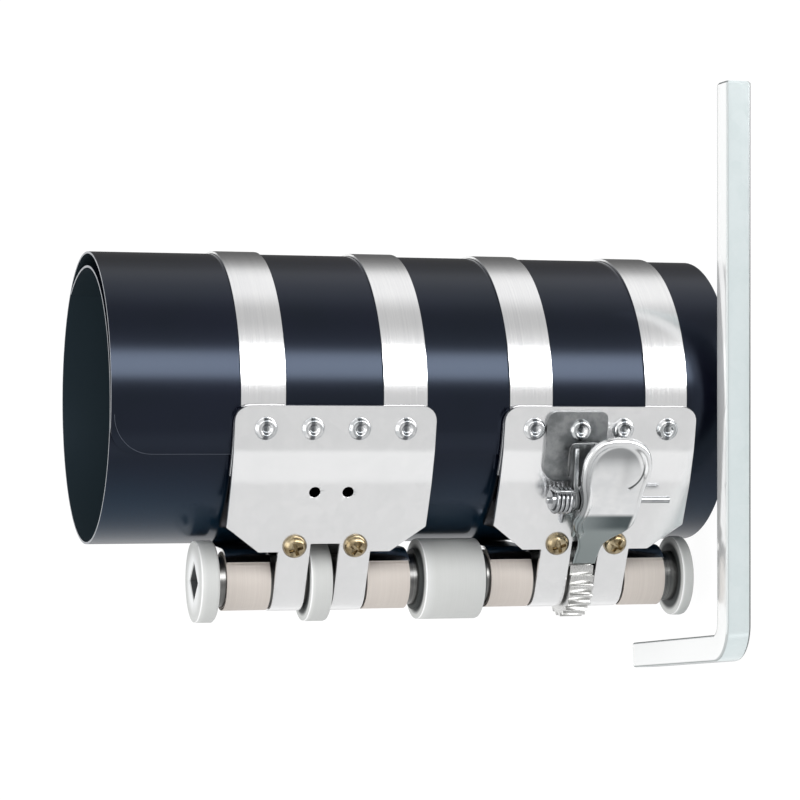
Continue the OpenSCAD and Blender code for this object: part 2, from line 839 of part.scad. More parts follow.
// Bent square bar that lies on the floor beside the sleeve
module drive_key() {
  turn = 180 - key_bend;
  straight = key_bend_r + key_w / 2;
  color([0.74, 0.78, 0.82])
    translate([key_corner[0], key_corner[1], 0])
      rotate([0, 0, key_yaw])
        sheet(key_w) {
          linked_strip([0, 0], [key_long - straight, 0], key_w, [1, 0]);
          translate([0, key_bend_r])
            arc_strip(key_bend_r, key_w, 270 - turn, 270);
          translate([0, key_bend_r])
            rotate([0, 0, -turn])
              linked_strip([0, -key_bend_r], [straight - key_short, -key_bend_r], key_w, [1, 0]);
        }
}

sleeve();
band(0);  // band_1
band(1);  // band_2
band(2);  // band_3
band(3);  // band_4
band_coil(0);  // band_coil_1
band_coil(1);  // band_coil_2
band_coil(2);  // band_coil_3
band_coil(3);  // band_coil_4
clamp_plate(upper_plate_z);  // upper_clamp_plate
clamp_plate(lower_plate_z);  // lower_clamp_plate
upper_plate_rivets();
lower_plate_rivets();
plate_screws(upper_plate_z);  // upper_plate_screws
plate_screws(lower_plate_z);  // lower_plate_screws
arbor_shaft();
top_flange();
bottom_flange();
middle_collar();
guide_disc();
ratchet_wheel();
pawl_bracket();
bracket_rivets();
pawl_lever();
pawl_pin();
pawl_spring();
drive_key();
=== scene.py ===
import math

import bmesh
import bpy
import numpy as np
from mathutils import Matrix, Vector
from mathutils.geometry import delaunay_2d_cdt


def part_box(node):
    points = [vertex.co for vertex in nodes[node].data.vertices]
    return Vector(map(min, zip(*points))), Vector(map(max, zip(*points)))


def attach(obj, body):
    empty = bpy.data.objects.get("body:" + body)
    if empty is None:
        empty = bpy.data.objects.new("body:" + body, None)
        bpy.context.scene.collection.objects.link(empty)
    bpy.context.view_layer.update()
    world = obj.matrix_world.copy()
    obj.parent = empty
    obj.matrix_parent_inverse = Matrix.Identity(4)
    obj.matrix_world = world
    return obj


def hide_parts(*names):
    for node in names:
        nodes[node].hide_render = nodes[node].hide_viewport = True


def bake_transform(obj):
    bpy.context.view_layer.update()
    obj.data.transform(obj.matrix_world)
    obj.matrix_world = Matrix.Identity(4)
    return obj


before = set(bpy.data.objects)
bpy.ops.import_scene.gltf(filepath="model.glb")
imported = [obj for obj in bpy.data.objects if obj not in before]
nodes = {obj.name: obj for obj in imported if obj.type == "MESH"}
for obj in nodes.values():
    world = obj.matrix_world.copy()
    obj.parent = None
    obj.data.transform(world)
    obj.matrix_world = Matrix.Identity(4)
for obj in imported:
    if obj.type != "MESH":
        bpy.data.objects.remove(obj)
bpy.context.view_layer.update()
mm = 0.001
scene = bpy.context.scene
print("frame loaded,", len(nodes), "solids")

# The tool stands on its lower rim at Z 0 with the bore on Z; plan points are in mm
layout = dict(
    sleeveLen=150.0,
    arbor=(-40.8244, -15.0205),
    discR=9.6,
    outerLayer=(1.97245, 0.0),
    lowerPlate=34.3,
    upperPlate=98.4,
    plateH=47.5,
    plateT=1.0,
    bandHeights=(115.2, 81.6, 51.1, 17.5),
    bandW=10.4,
    flatAt=(-17.2007, -32.4166),
    flatTilt=23.4667,
    pilotU=2.1,
    pilotHalf=3.95,
    pilotR=1.3,
    rivetPitch=11.0,
)


# A socket of a node tree that takes part in Python arithmetic
class Wire:
    def __init__(self, socket):
        self.socket = socket
        self.tree = socket.id_data

    def add(self, kind, settings=(), sockets=(), out=0):
        made = self.tree.nodes.new(kind)
        for name, value in dict(settings).items():
            if name == "stops":
                self.setStops(made.color_ramp, value)
            elif name == "curve":
                self.setCurve(made.mapping, value)
            else:
                setattr(made, name, value)
        for name, value in dict(sockets).items():
            if isinstance(value, Wire):
                self.tree.links.new(value.socket, made.inputs[name])
            else:
                made.inputs[name].default_value = value
        return Wire(made.outputs[out])

    @staticmethod
    def setStops(ramp, stops):
        while len(ramp.elements) > 1:
            ramp.elements.remove(ramp.elements[-1])
        ramp.elements[0].position = stops[0][0]
        for place, tone in stops[1:]:
            ramp.elements.new(place)
        for mark, (place, tone) in zip(ramp.elements, stops):
            mark.color = (tone, tone, tone, 1)

    @staticmethod
    def setCurve(mapping, places):
        line = mapping.curves[0].points
        while len(line) < len(places):
            line.new(0.5, 0.5)
        for point, place in zip(line, places):
            point.location = place
        mapping.update()

    def maths(self, operation, first, second=0.0):
        return self.add("ShaderNodeMath", {"operation": operation}, {0: first, 1: second})

    def __add__(self, other):
        return self.maths("ADD", self, other)

    def __radd__(self, other):
        return self.maths("ADD", other, self)

    def __sub__(self, other):
        return self.maths("SUBTRACT", self, other)

    def __rsub__(self, other):
        return self.maths("SUBTRACT", other, self)

    def __mul__(self, other):
        return self.maths("MULTIPLY", self, other)

    def __rmul__(self, other):
        return self.maths("MULTIPLY", other, self)

    def __truediv__(self, other):
        return self.maths("DIVIDE", self, other)

    def __gt__(self, other):
        return self.maths("GREATER_THAN", self, other)

    def __lt__(self, other):
        return self.maths("LESS_THAN", self, other)

    def __abs__(self):
        return self.maths("ABSOLUTE", self)

    def least(self, other):
        return self.maths("MINIMUM", self, other)

    def most(self, other):
        return self.maths("MAXIMUM", self, other)

    def reach(self, other):
        return self.maths("SQRT", self * self + other * other)

    def near(self, value, width):
        return self.maths("COMPARE", self, value).withThird(width)

    def withThird(self, value):
        self.socket.node.inputs[2].default_value = value
        return self

    def step(self, low, high):
        return self.add("ShaderNodeMapRange", {"interpolation_type": "SMOOTHSTEP"},
                        {"Value": self, "From Min": low, "From Max": high})

    def blendColour(self, first, second):
        def tone(value):
            return value if isinstance(value, Wire) else (*value, 1)
        return self.add("ShaderNodeMix", {"data_type": "RGBA"},
                        {0: self, 6: tone(first), 7: tone(second)}, out=2)

    def stretched(self, scale):
        return self.add("ShaderNodeMapping", {"vector_type": "TEXTURE"},
                        {"Vector": self, "Scale": tuple(1 / s for s in scale)})

    def noise(self, scale=1.0, detail=3.0, rough=0.55):
        return self.add("ShaderNodeTexNoise", (), {"Vector": self, "Scale": scale, "Detail": detail,
                                                   "Roughness": rough})

    def parts(self):
        split = self.add("ShaderNodeSeparateXYZ", (), {0: self})
        return [Wire(split.socket.node.outputs[i]) for i in range(3)]

    def inMm(self):
        return self.add("ShaderNodeVectorMath", {"operation": "SCALE"}, {0: self, "Scale": 1 / mm}).parts()

    def into(self, shader, name):
        self.tree.links.new(self.socket, shader.inputs[name])


# Principled finish; gives the material, its shader and the Object coordinates
def startFinish(name, **constants):
    finish = bpy.data.materials.new(name)
    finish.use_nodes = True
    tree = finish.node_tree
    shader = tree.nodes["Principled BSDF"]
    for socket, value in constants.items():
        label = socket.replace("_", " ")
        shader.inputs[label].default_value = (*value, 1) if isinstance(value, tuple) else value
    where = Wire(tree.nodes.new("ShaderNodeTexCoord").outputs["Object"])
    return finish, shader, where


# Bump that feeds the shader's normal, with its depth in mm
def roughen(shader, height, depth, strength=1.0):
    bump = height.add("ShaderNodeBump", (), {"Strength": strength, "Distance": depth * mm, "Height": height})
    bump.into(shader, "Normal")


# Parts of the surface's own direction
def facing(where):
    return Wire(where.socket.node.outputs["Normal"]).parts()


# Edge of the outer layer of the sleeve, with its rounded upper corner, drawn as a pale line: a painted
# highlight, only near the upper end and at the front
lapEdge = dict(x=-10.56, cornerR=9.0, cornerZ=140.2, half=0.035, front=-30, low=118)


def paintedLapHighlight(x, y, z):
    across = x - (lapEdge["x"] + lapEdge["cornerR"])
    along = (z - lapEdge["cornerZ"]).most(0.0)
    line = across.reach(along).near(lapEdge["cornerR"], lapEdge["half"]) * (across < 0)
    return line * (y < lapEdge["front"]) * (z > lapEdge["low"])


# Blued sheet: violet clouds, teal towards the arbor, a rougher bore, bare rims and a painted highlight along
# the lap edge
def bluedSteel():
    look = dict(deep=(0.0012, 0.0018, 0.0045), violet=(0.0025, 0.0025, 0.0075), teal=(0.004, 0.015, 0.029),
                bore=(0.016, 0.027, 0.033), bare=(0.25, 0.26, 0.28), lapHighlight=(0.10, 0.11, 0.13), rough=0.155,
                boreRough=0.22, cloud=28, rolled=(30, 30, 5200), tealFrom=-6, tealTo=-24, drift=8, rim=0.02)
    finish, shader, where = startFinish("bluedSteel", Metallic=0.0, Specular_IOR_Level=0.42,
                                        Specular_Tint=(0.60, 0.735, 1.0))
    cloud = where.noise(look["cloud"], 3)
    rolled = where.stretched(look["rolled"]).noise(1.0, 2)
    x, y, z = where.inMm()
    body = cloud.step(0.38, 0.66).blendColour(look["deep"], look["violet"])
    teal = (x + look["drift"] * cloud).step(look["tealFrom"], look["tealTo"])
    body = teal.blendColour(body, look["teal"])
    way = facing(where)
    inner = (way[0] * x + way[1] * y) < 0
    body = inner.blendColour(body, look["bore"])
    rims = (z > layout["sleeveLen"] - look["rim"]) + (z < look["rim"])
    body = rims.blendColour(body, look["bare"])
    # the pale lap line is a painted highlight
    paintedLapHighlight(x, y, z).blendColour(body, look["lapHighlight"]).into(shader, "Base Color")
    (look["rough"] + 0.05 * cloud + 0.04 * rolled + look["boreRough"] * inner).into(shader, "Roughness")
    roughen(shader, rolled, 0.002, 0.35)
    return finish


# Rolled strip, with fine lines along its length
stripGrain = dict(lines=(24, 24, 4200), cloud=60)


def rolledStrip(name, look):
    finish, shader, where = startFinish(name, Metallic=look["metal"])
    lines = where.stretched(stripGrain["lines"]).noise(1.0, 3, 0.7)
    cloud = where.noise(stripGrain["cloud"], 3)
    shade = (0.65 * lines + 0.35 * cloud).step(0.32, 0.70)
    shade.blendColour(look["low"], look["high"]).into(shader, "Base Color")
    (look["rough"] + 0.10 * lines).into(shader, "Roughness")
    roughen(shader, lines, 0.002, 0.3)
    return finish


# Place against the last plate flat in mm: u towards the arbor, h off the plate, z along the tool
def plateAxes(where):
    x, y, z = where.inMm()
    dx, dy = x - layout["flatAt"][0], y - layout["flatAt"][1]
    tilt = math.radians(layout["flatTilt"])
    u = math.sin(tilt) * dy - math.cos(tilt) * dx
    h = -math.sin(tilt) * dx - math.cos(tilt) * dy
    return u, h, z


# Painted shade on the folded plates: black in the pilot holes and in the space between the leaves, dark grey
# on the cut edges above
foldDark = dict(edge=0.85, edgeFacing=0.02, edgeU=-17, gapH=-0.9, gapFrom=-1, gapTo=18,
                holeMore=0.8, holeH=0.4)


def foldShade(where):
    u, h, z = plateAxes(where)
    cut = (facing(where)[0] > foldDark["edgeFacing"]) * (u < foldDark["edgeU"])
    gap = (h < foldDark["gapH"]) * (u > foldDark["gapFrom"]) * (u < foldDark["gapTo"])
    shade = foldDark["edge"] * cut + gap
    du = u - layout["pilotU"]
    for side in (-1, 1):
        dz = z - (layout["upperPlate"] + side * layout["pilotHalf"])
        shade = shade + (du.reach(dz) < layout["pilotR"] + foldDark["holeMore"]) * (h < foldDark["holeH"])
    return shade.least(1.0)


# Bar of the key: painted light on its upward faces, and painted shade as dark lines along its rounded edges,
# darkest on the edges that face down
barEdge = dict(lit=(0.3, 0.8), edgeIn=(0.2, 0.4), edgeOut=(0.97, 0.85))


def barShade(where, tone, look):
    upward = facing(where)[2]
    tone = upward.step(*barEdge["lit"]).blendColour(tone, look["lit"])
    steep = abs(upward)
    edge = steep.step(*barEdge["edgeIn"]) * steep.step(*barEdge["edgeOut"])
    return edge.blendColour(tone, (upward > 0).blendColour(look["under"], look["edge"]))


# Zinc: a fine grain under soft clouds and the patches of its crystals
zincGrain = dict(grain=900, cloud=70)


def zincPlate(name, look):
    finish, shader, where = startFinish(name, Metallic=look["metal"])
    grain = where.noise(zincGrain["grain"], 4, 0.65)
    cloud = where.noise(zincGrain["cloud"], 3)
    spangle = where.add("ShaderNodeTexVoronoi", {"feature": "F1"},
                        {"Vector": where, "Scale": look["spangle"]}, out=1)
    patch = spangle.parts()[0]
    shade = (0.55 * cloud + 0.30 * grain + 0.15 * patch).step(0.25, 0.75)
    tone = shade.blendColour(look["low"], look["high"])
    # deep is the colour of the painted shade of the folds
    if "deep" in look:
        tone = foldShade(where).blendColour(tone, look["deep"])
    # painted light on the top faces and painted shade along the edges of the key
    if "lit" in look:
        tone = barShade(where, tone, look)
    tone.into(shader, "Base Color")
    (look["rough"] + 0.05 * grain + 0.02 * patch).into(shader, "Roughness")
    roughen(shader, grain, 0.002, 0.25)
    return finish


# Discs: painted shade on the hubs, painted highlights on the upper rims and on a ring round the top socket,
# painted shade inside the socket
discMarks = dict(hub=(8.7, 7.4), hubTop=120, top=127.0, socketHighlight=(8.4, 4.6), socketHighlightDeep=0.1, socketR=4.7,
                 socketTop=0.3, socketLow=6, rimIn=(0.10, 0.30), rimOut=(0.985, 0.93), rimR=7.6)


def discShade(where, far, z, tone, look):
    hub = far.step(*discMarks["hub"]) * (z < discMarks["hubTop"])
    tone = hub.blendColour(tone, look["paintedHubShade"])
    under = discMarks["top"] - z
    ring = far.step(*discMarks["socketHighlight"]) * (under < discMarks["socketHighlightDeep"])
    tone = ring.blendColour(tone, look["socketHighlight"])
    socket = (under > discMarks["socketTop"]) * (under < discMarks["socketLow"]) * (far < discMarks["socketR"])
    tone = socket.blendColour(tone, look["socket"])
    slope = facing(where)[2]
    rim = slope.step(*discMarks["rimIn"]) * slope.step(*discMarks["rimOut"]) * (far > discMarks["rimR"])
    return rim.blendColour(tone, look["rim"])


# Turning marks about the arbor: rings on the faces, fine grooves on the walls
turning = dict(groove=5.2, cloud=90)


def turnedSteel(name, look):
    finish, shader, where = startFinish(name, Metallic=look["metal"])
    x, y, z = where.inMm()
    far = (x - layout["arbor"][0]).reach(y - layout["arbor"][1])
    cut = far.add("ShaderNodeCombineXYZ", (), {0: far * turning["groove"], 2: z * turning["groove"]})
    groove = cut.noise(1.0, 3, 0.7)
    cloud = where.noise(turning["cloud"], 3)
    shade = (0.6 * groove + 0.4 * cloud).step(0.30, 0.72)
    tone = shade.blendColour(look["low"], look["high"])
    # painted shade on the hubs and in the socket, painted highlights on the upper rims and round the socket
    if "paintedHubShade" in look:
        tone = discShade(where, far, z, tone, look)
    tone.into(shader, "Base Color")
    (look["rough"] + 0.16 * groove).into(shader, "Roughness")
    roughen(shader, groove, 0.004, 0.45)
    return finish


# Painted dark reflection as a streak down each head of the two rivet rows
paintedReflection = dict(aside=0.25, dark=0.25, fade=0.8)


def paintedHeadReflection(where):
    z = where.inMm()[2]
    half = layout["rivetPitch"] / 2
    low, high = layout["lowerPlate"], layout["upperPlate"]
    row = (z > (low + high) / 2) * (high - low) + low
    side = z - row + half
    side = side.maths("WRAP", side, half).withThird(-half) - paintedReflection["aside"]
    return 1 - abs(side).step(paintedReflection["dark"], paintedReflection["fade"])


# Painted shade on the spoon: on its rim towards one side, under the crown of the pad, along the press mark, on
# the hip, darker towards one side, and down the neck
spoonMarks = dict(padAt=(-6.5, -1.0), padHalf=(7.2, 6.1), padEdge=(1.05, 0.85), rimU=(-19.0, 2.0),
                  rimW=(-6.5, 1.0), crownU=(-5.5, -12.5), pressAt=(-8.3, -1.69), pressR=5.9,
                  pressEdge=(0.32, 0.12), pressU=(-12.0, -7.0), pressEnd=(-3.1, -4.4), hipU=(3.9, 5.4),
                  hipSide=(-7.9, -7.1), hipW=(5.0, -5.0), neckU=(8.2, 10.6))


def spoonShade(where, tone, look):
    at = spoonMarks
    u, h, z = plateAxes(where)
    w = z - layout["lowerPlate"]
    padU = ((u - at["padAt"][0]) / at["padHalf"][0]).least(0.0)
    padW = (w - at["padAt"][1]) / at["padHalf"][1]
    pad = (padU * padU + padW * padW).step(*at["padEdge"])
    rim = (1 - pad) * w.step(*at["rimW"]) * u.step(*at["rimU"])
    tone = rim.blendColour(tone, look["rim"])
    tone = (pad * u.step(*at["crownU"])).blendColour(tone, look["padCrownShade"])
    ring = (u - at["pressAt"][0]).reach(w - at["pressAt"][1]) - at["pressR"]
    press = abs(ring).step(*at["pressEdge"]) * u.step(*at["pressU"])
    press = press * (u < at["pressEnd"][0]) * (w < at["pressEnd"][1])
    tone = press.blendColour(tone, look["mark"])
    hip = w.step(*at["hipW"]).blendColour(look["hip"], look["hipFar"])
    tone = (u.step(*at["hipU"]) * w.step(*at["hipSide"])).blendColour(tone, hip)
    return u.step(*at["neckU"]).blendColour(tone, look["neck"])


# Polished or plated small parts, with soft dents and a little tarnish
polish = dict(tarnish=260, dents=420, depth=0.03)


def polishedSteel(name, look):
    finish, shader, where = startFinish(name, Metallic=1.0)
    tarnish = where.noise(polish["tarnish"], 4, 0.6)
    dents = where.noise(polish["dents"], 2, 0.4)
    tone = tarnish.step(0.34, 0.68).blendColour(look["low"], look["high"])
    # painted dark reflection on the rivet heads
    if "paintedReflection" in look:
        tone = paintedHeadReflection(where).blendColour(tone, look["paintedReflection"])
    # painted shade on the spoon of the release lever
    if "neck" in look:
        tone = spoonShade(where, tone, look)
    tone.into(shader, "Base Color")
    (look["rough"] + 0.14 * tarnish).into(shader, "Roughness")
    roughen(shader, dents, look.get("depth", polish["depth"]), 0.35)
    return finish


finishes = dict(
    sleeve=bluedSteel(),
    band=rolledStrip("bandSteel", dict(
        low=(0.82, 0.82, 0.83), high=(0.91, 0.91, 0.91), rough=0.12, metal=1.0)),
    coil=rolledStrip("coilSteel", dict(
        low=(0.60, 0.55, 0.51), high=(0.66, 0.61, 0.565), rough=0.60, metal=0.3)),
    # deep: colour of the painted shade in the holes, between the leaves and on the cut edges
    plate=zincPlate("zincPlate", dict(
        low=(0.85, 0.855, 0.86), high=(0.91, 0.91, 0.915), deep=(0.01, 0.01, 0.012),
        rough=0.18, spangle=420, metal=0.92)),
    # the hub and socket colours are painted shade; the rim and socket ring colours are painted highlights
    turned=turnedSteel("turnedSteel", dict(
        low=(0.56, 0.57, 0.56), high=(0.62, 0.63, 0.62), paintedHubShade=(0.05, 0.055, 0.055), socketHighlight=(0.86, 0.87, 0.87),
        socket=(0.10, 0.105, 0.11), rim=(0.97, 0.97, 0.97), rough=0.60, metal=0.2)),
    # shaft: its own dark steel, made darker still as painted shade for the necks between the discs
    shaft=turnedSteel("shaftSteel", dict(
        low=(0.10, 0.10, 0.10), high=(0.28, 0.28, 0.27), rough=0.22, metal=1.0)),
    ratchet=turnedSteel("ratchetSteel", dict(
        low=(0.50, 0.50, 0.49), high=(0.76, 0.76, 0.75), rough=0.20, metal=1.0)),
    # the darkest colour here is the painted reflection on the heads
    rivet=polishedSteel("rivetSteel", dict(
        low=(0.50, 0.52, 0.53), high=(0.80, 0.80, 0.81), paintedReflection=(0.15, 0.16, 0.17), rough=0.14)),
    screw=polishedSteel("yellowZinc", dict(
        low=(0.20, 0.15, 0.08), high=(0.50, 0.42, 0.28), rough=0.18)),
    bracket=polishedSteel("bracketSteel", dict(
        low=(0.20, 0.21, 0.215), high=(0.36, 0.37, 0.375), rough=0.24)),
    # the dark colours of the lever are painted shade on its rim, pad crown, hip, neck and press mark
    lever=polishedSteel("leverSteel", dict(
        low=(0.84, 0.85, 0.86), high=(0.92, 0.925, 0.93), padCrownShade=(0.34, 0.35, 0.355), rim=(0.30, 0.31, 0.315),
        hip=(0.24, 0.27, 0.275), hipFar=(0.08, 0.10, 0.105), neck=(0.27, 0.305, 0.305),
        mark=(0.16, 0.17, 0.17), rough=0.13, depth=0.004)),
    spring=polishedSteel("springWire", dict(
        low=(0.30, 0.31, 0.32), high=(0.60, 0.61, 0.63), rough=0.16)),
    pin=polishedSteel("pinSteel", dict(
        low=(0.34, 0.35, 0.36), high=(0.50, 0.51, 0.52), rough=0.14)),
    # lit is the painted light on the top faces; edge and under are the painted shade along the upper and lower
    # edges
    key=zincPlate("keyZinc", dict(
        low=(0.73, 0.81, 0.82), high=(0.79, 0.86, 0.87), lit=(0.90, 0.91, 0.91), edge=(0.48, 0.51, 0.51),
        under=(0.18, 0.19, 0.19), rough=0.10, spangle=260, metal=0.5)),
)

# Solids that stay in view as they are
worn = dict(
    sleeve=["sleeve"],
    band=["band_1", "band_2", "band_3", "band_4"],
    shaft=["arbor_shaft"],
    rivet=["bracket_rivets"],
    pin=["pawl_pin"],
)
for finishName, nodeNames in worn.items():
    for nodeName in nodeNames:
        solid = nodes[nodeName].data
        solid.materials.clear()
        solid.materials.append(finishes[finishName])
print("finishes laid on the solids")


# Mesh helpers; plan points are in mm
def smoothShade(mesh, sharp):
    mesh.polygons.foreach_set("use_smooth", [True] * len(mesh.polygons))
    mesh.set_sharp_from_angle(angle=math.radians(sharp))


def meshPiece(name, points, faces, finish, sharp=35):
    mesh = bpy.data.meshes.new(name)
    mesh.from_pydata([tuple(float(c) * mm for c in p) for p in points], [], faces)
    mesh.materials.append(finish)
    piece = bpy.data.objects.new(name, mesh)
    scene.collection.objects.link(piece)
    form = bmesh.new()
    form.from_mesh(mesh)
    bmesh.ops.remove_doubles(form, verts=form.verts, dist=0.002 * mm)
    bmesh.ops.recalc_face_normals(form, faces=form.faces)
    form.to_mesh(mesh)
    form.free()
    smoothShade(mesh, sharp)
    return piece


# Modifiers become plain mesh
def settle(piece, sharp=35, place=None):
    graph = bpy.context.evaluated_depsgraph_get()
    done = bpy.data.meshes.new_from_object(piece.evaluated_get(graph))
    before = piece.data
    piece.modifiers.clear()
    piece.data = done
    bpy.data.meshes.remove(before)
    done.name = piece.name
    if place is not None:
        done.transform(place)
    smoothShade(done, sharp)
    return piece


def bevelled(piece, width, steps=2, angle=50):
    bevel = piece.modifiers.new("edge", "BEVEL")
    bevel.width = width * mm
    bevel.segments = steps
    bevel.limit_method = "ANGLE"
    bevel.angle_limit = math.radians(angle)
    bevel.miter_outer = "MITER_ARC"
    piece.modifiers.new("flats", "WEIGHTED_NORMAL")  # keeps the flats flat beside the rounded edges


def joined(name, pieces, finish):
    form = bmesh.new()
    for piece in pieces:
        form.from_mesh(piece.data)
        bpy.data.objects.remove(piece)
    mesh = bpy.data.meshes.new(name)
    form.to_mesh(mesh)
    form.free()
    mesh.materials.clear()
    mesh.materials.append(finish)
    whole = bpy.data.objects.new(name, mesh)
    scene.collection.objects.link(whole)
    return whole


def dress(piece, body, slotName, *replaced):
    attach(piece, body)
    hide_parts(*replaced)


def polar(centre, radius, degrees):
    angle = math.radians(degrees)
    return (centre[0] + radius * math.cos(angle), centre[1] + radius * math.sin(angle))


def arcPoints(centre, radius, start, stop, step=2.5):
    count = max(2, int(abs(stop - start) / step) + 1)
    return [polar(centre, radius, start + (stop - start) * i / count) for i in range(count + 1)]


# Polyline with its inner corners turned on a radius
def softLine(corners, radius, steps=5):
    line = [np.array(corners[0], float)]
    for before, here, after in zip(corners, corners[1:], corners[2:]):
        a, b, c = (np.array(p, float) for p in (before, here, after))
        u, v = (a - b) / np.linalg.norm(a - b), (c - b) / np.linalg.norm(c - b)
        half = math.acos(max(-1.0, min(1.0, float(u @ v)))) / 2
        reach = radius / math.tan(half)
        start, stop = b + reach * u, b + reach * v
        for i in range(steps + 1):
            t = i / steps
            line.append((1 - t) ** 2 * start + 2 * t * (1 - t) * b + t * t * stop)
    line.append(np.array(corners[-1], float))
    return [tuple(p) for p in line]


# Points added along a line so that none are further apart than the step
def dense(loop, step, closed=True):
    points = []
    for a, b in zip(loop, loop[1:] + loop[:1] if closed else loop[1:]):
        count = max(1, int(math.ceil(math.dist(a, b) / step)))
        points += [(a[0] + (b[0] - a[0]) * i / count, a[1] + (b[1] - a[1]) * i / count) for i in range(count)]
    return points


# Which points lie in a closed loop, and how far points lie from it
def inside(points, loop):
    points = np.asarray(points, float)
    held = np.zeros(len(points), bool)
    for (ax, ay), (bx, by) in zip(loop, loop[1:] + loop[:1]):
        if ay == by:
            continue
        crosses = (points[:, 1] < ay) != (points[:, 1] < by)
        held ^= crosses & (points[:, 0] < ax + (points[:, 1] - ay) * (bx - ax) / (by - ay))
    return held


def awayFrom(points, loop):
    points = np.asarray(points, float)
    far = np.full(len(points), 1e9)
    for a, b in zip(loop, loop[1:] + loop[:1]):
        a, b = np.array(a), np.array(b)
        d = b - a
        t = np.clip(((points - a) @ d) / max(d @ d, 1e-12), 0, 1)
        far = np.minimum(far, np.linalg.norm(points - a - t[:, None] * d, axis=1))
    return far


# Triangles of a flat pattern with holes, with extra points inside it
def flatPattern(outline, holes, extra):
    loops = [outline] + holes
    points, edges = [], []
    for loop in loops:
        first = len(points)
        points += loop
        edges += [(first + i, first + (i + 1) % len(loop)) for i in range(len(loop))]
    points += [tuple(p) for p in extra]
    made = delaunay_2d_cdt([Vector(p) for p in points], edges, [], 0, 1e-5)
    flat = np.array([tuple(v) for v in made[0]])
    faces = np.array([f for f in made[2] if len(f) == 3])
    middle = flat[faces].mean(axis=1)
    keep = inside(middle, outline)
    for hole in holes:
        keep &= ~inside(middle, hole)
    return flat, faces[keep]


# Flat pattern bent round a plan line, then given the sheet's thickness and soft edges
sheets = dict(grid=(0.9, 2.4), edge=0.14, outlineClear=0.35, holeClear=0.25)


def foldSheet(name, outline, holes, line, thick, finish, grid=sheets["grid"]):
    line = np.array(line, float)
    run = np.concatenate([[0], np.cumsum(np.linalg.norm(np.diff(line, axis=0), axis=1))])
    box = np.array(outline)
    s, z = np.meshgrid(np.arange(box[:, 0].min(), box[:, 0].max(), grid[0]),
                       np.arange(box[:, 1].min(), box[:, 1].max(), grid[1]))
    extra = np.column_stack([s.ravel(), z.ravel()])
    keep = inside(extra, outline) & (awayFrom(extra, outline) > sheets["outlineClear"])
    for hole in holes:
        keep &= ~inside(extra, hole) & (awayFrom(extra, hole) > sheets["holeClear"])
    flat, faces = flatPattern(outline, holes, extra[keep])
    x = np.interp(flat[:, 0], run, line[:, 0])
    y = np.interp(flat[:, 0], run, line[:, 1])
    piece = meshPiece(name, np.column_stack([x, y, flat[:, 1]]), faces.tolist(), finish)
    wall = piece.modifiers.new("thickness", "SOLIDIFY")
    wall.thickness = thick * mm
    wall.offset = 0
    wall.use_even_offset = True
    bevelled(piece, sheets["edge"])
    return settle(piece)


# Length of a line up to one of its points
def runTo(line, count):
    return sum(math.dist(a, b) for a, b in zip(line[:count], line[1:count + 1]))


# Quarter round in a square corner, from one side to the other
def roundCorner(at, toward, along, radius, steps=6):
    u = np.array(toward, float)
    v = np.array(along, float)
    return [tuple(np.array(at) + radius * ((1 - math.sin(t)) * u + (1 - math.cos(t)) * v))
            for t in np.linspace(0, math.pi / 2, steps + 1)]


# Piece turned about the arbor's axis from a (radius, height) outline, which is open where it meets the axis
def turnedPiece(name, section, closed=True, steps=112):
    points, faces = [], []
    n = len(section)
    for i in range(steps):
        points += [(*polar(layout["arbor"], radius, 360 * i / steps), z) for radius, z in section]
        here, after = i * n, (i + 1) % steps * n
        for k in range(n if closed else n - 1):
            j = (k + 1) % n
            faces.append((here + k, here + j, after + j, after + k))
    return meshPiece(name, points, faces, finishes["turned"], 30)


# Solid of a flat outline between two levels, set in place point by point
def prism(name, outline, low, high, finish, place):
    flat, faces = flatPattern(outline, [], [])
    n = len(outline)
    points = [place(*p, level) for level in (low, high) for p in flat]
    total = len(flat)
    sides = [(i, (i + 1) % n, total + (i + 1) % n, total + i) for i in range(n)]
    walls = [tuple(f[::-1]) for f in faces.tolist()] + [tuple(total + v for v in f) for f in faces.tolist()]
    return meshPiece(name, points, walls + sides, finish)


# Directions off and along a leaf that is tilted from the front
def outward(tilt):
    return np.array((-math.sin(math.radians(tilt)), -math.cos(math.radians(tilt))))


def along(tilt):
    return np.array((-math.cos(math.radians(tilt)), math.sin(math.radians(tilt))))


# Folded clamp plates: front leaf with two soft bends, two ears round the arbor, back leaf
plate = dict(rivetAt=(-4.51942, -35.7225), rivetTilt=10.3, lead=5.4, bendOne=(-9.70449, -34.7802),
             middleTilt=17.5, lastLen=28.5973, earR=6.55, backStart=222.122, backStop=267.2, backR=35.2675,
             bendR=6.0, cornerR=3.6, chamfer=8.0, full=11.1, low=17.5, slotU=15.4, slotHalf=3.45,
             earOut=11.05, backFullX=-27.4007, backLowX=-30.0007, screwU=15.9, earMid=7.25, seat=0.52,
             outlineStep=1.2)


def onPlate(u, h):
    return np.array(layout["flatAt"]) + u * along(layout["flatTilt"]) + h * outward(layout["flatTilt"])


# Plan line of the front leaf, at a distance off it
def leafLine(off, before, length):
    def fold(at, first, second):
        stretch = off / math.cos(math.radians((second - first) / 2))
        return np.array(at) + stretch * outward((first + second) / 2)
    tilt = plate["rivetTilt"]
    first = np.array(plate["rivetAt"]) - before * along(tilt) + off * outward(tilt)
    bendOne = fold(plate["bendOne"], tilt, plate["middleTilt"])
    bendTwo = fold(layout["flatAt"], plate["middleTilt"], layout["flatTilt"])
    return [tuple(p) for p in (first, bendOne, bendTwo, onPlate(length, off))]


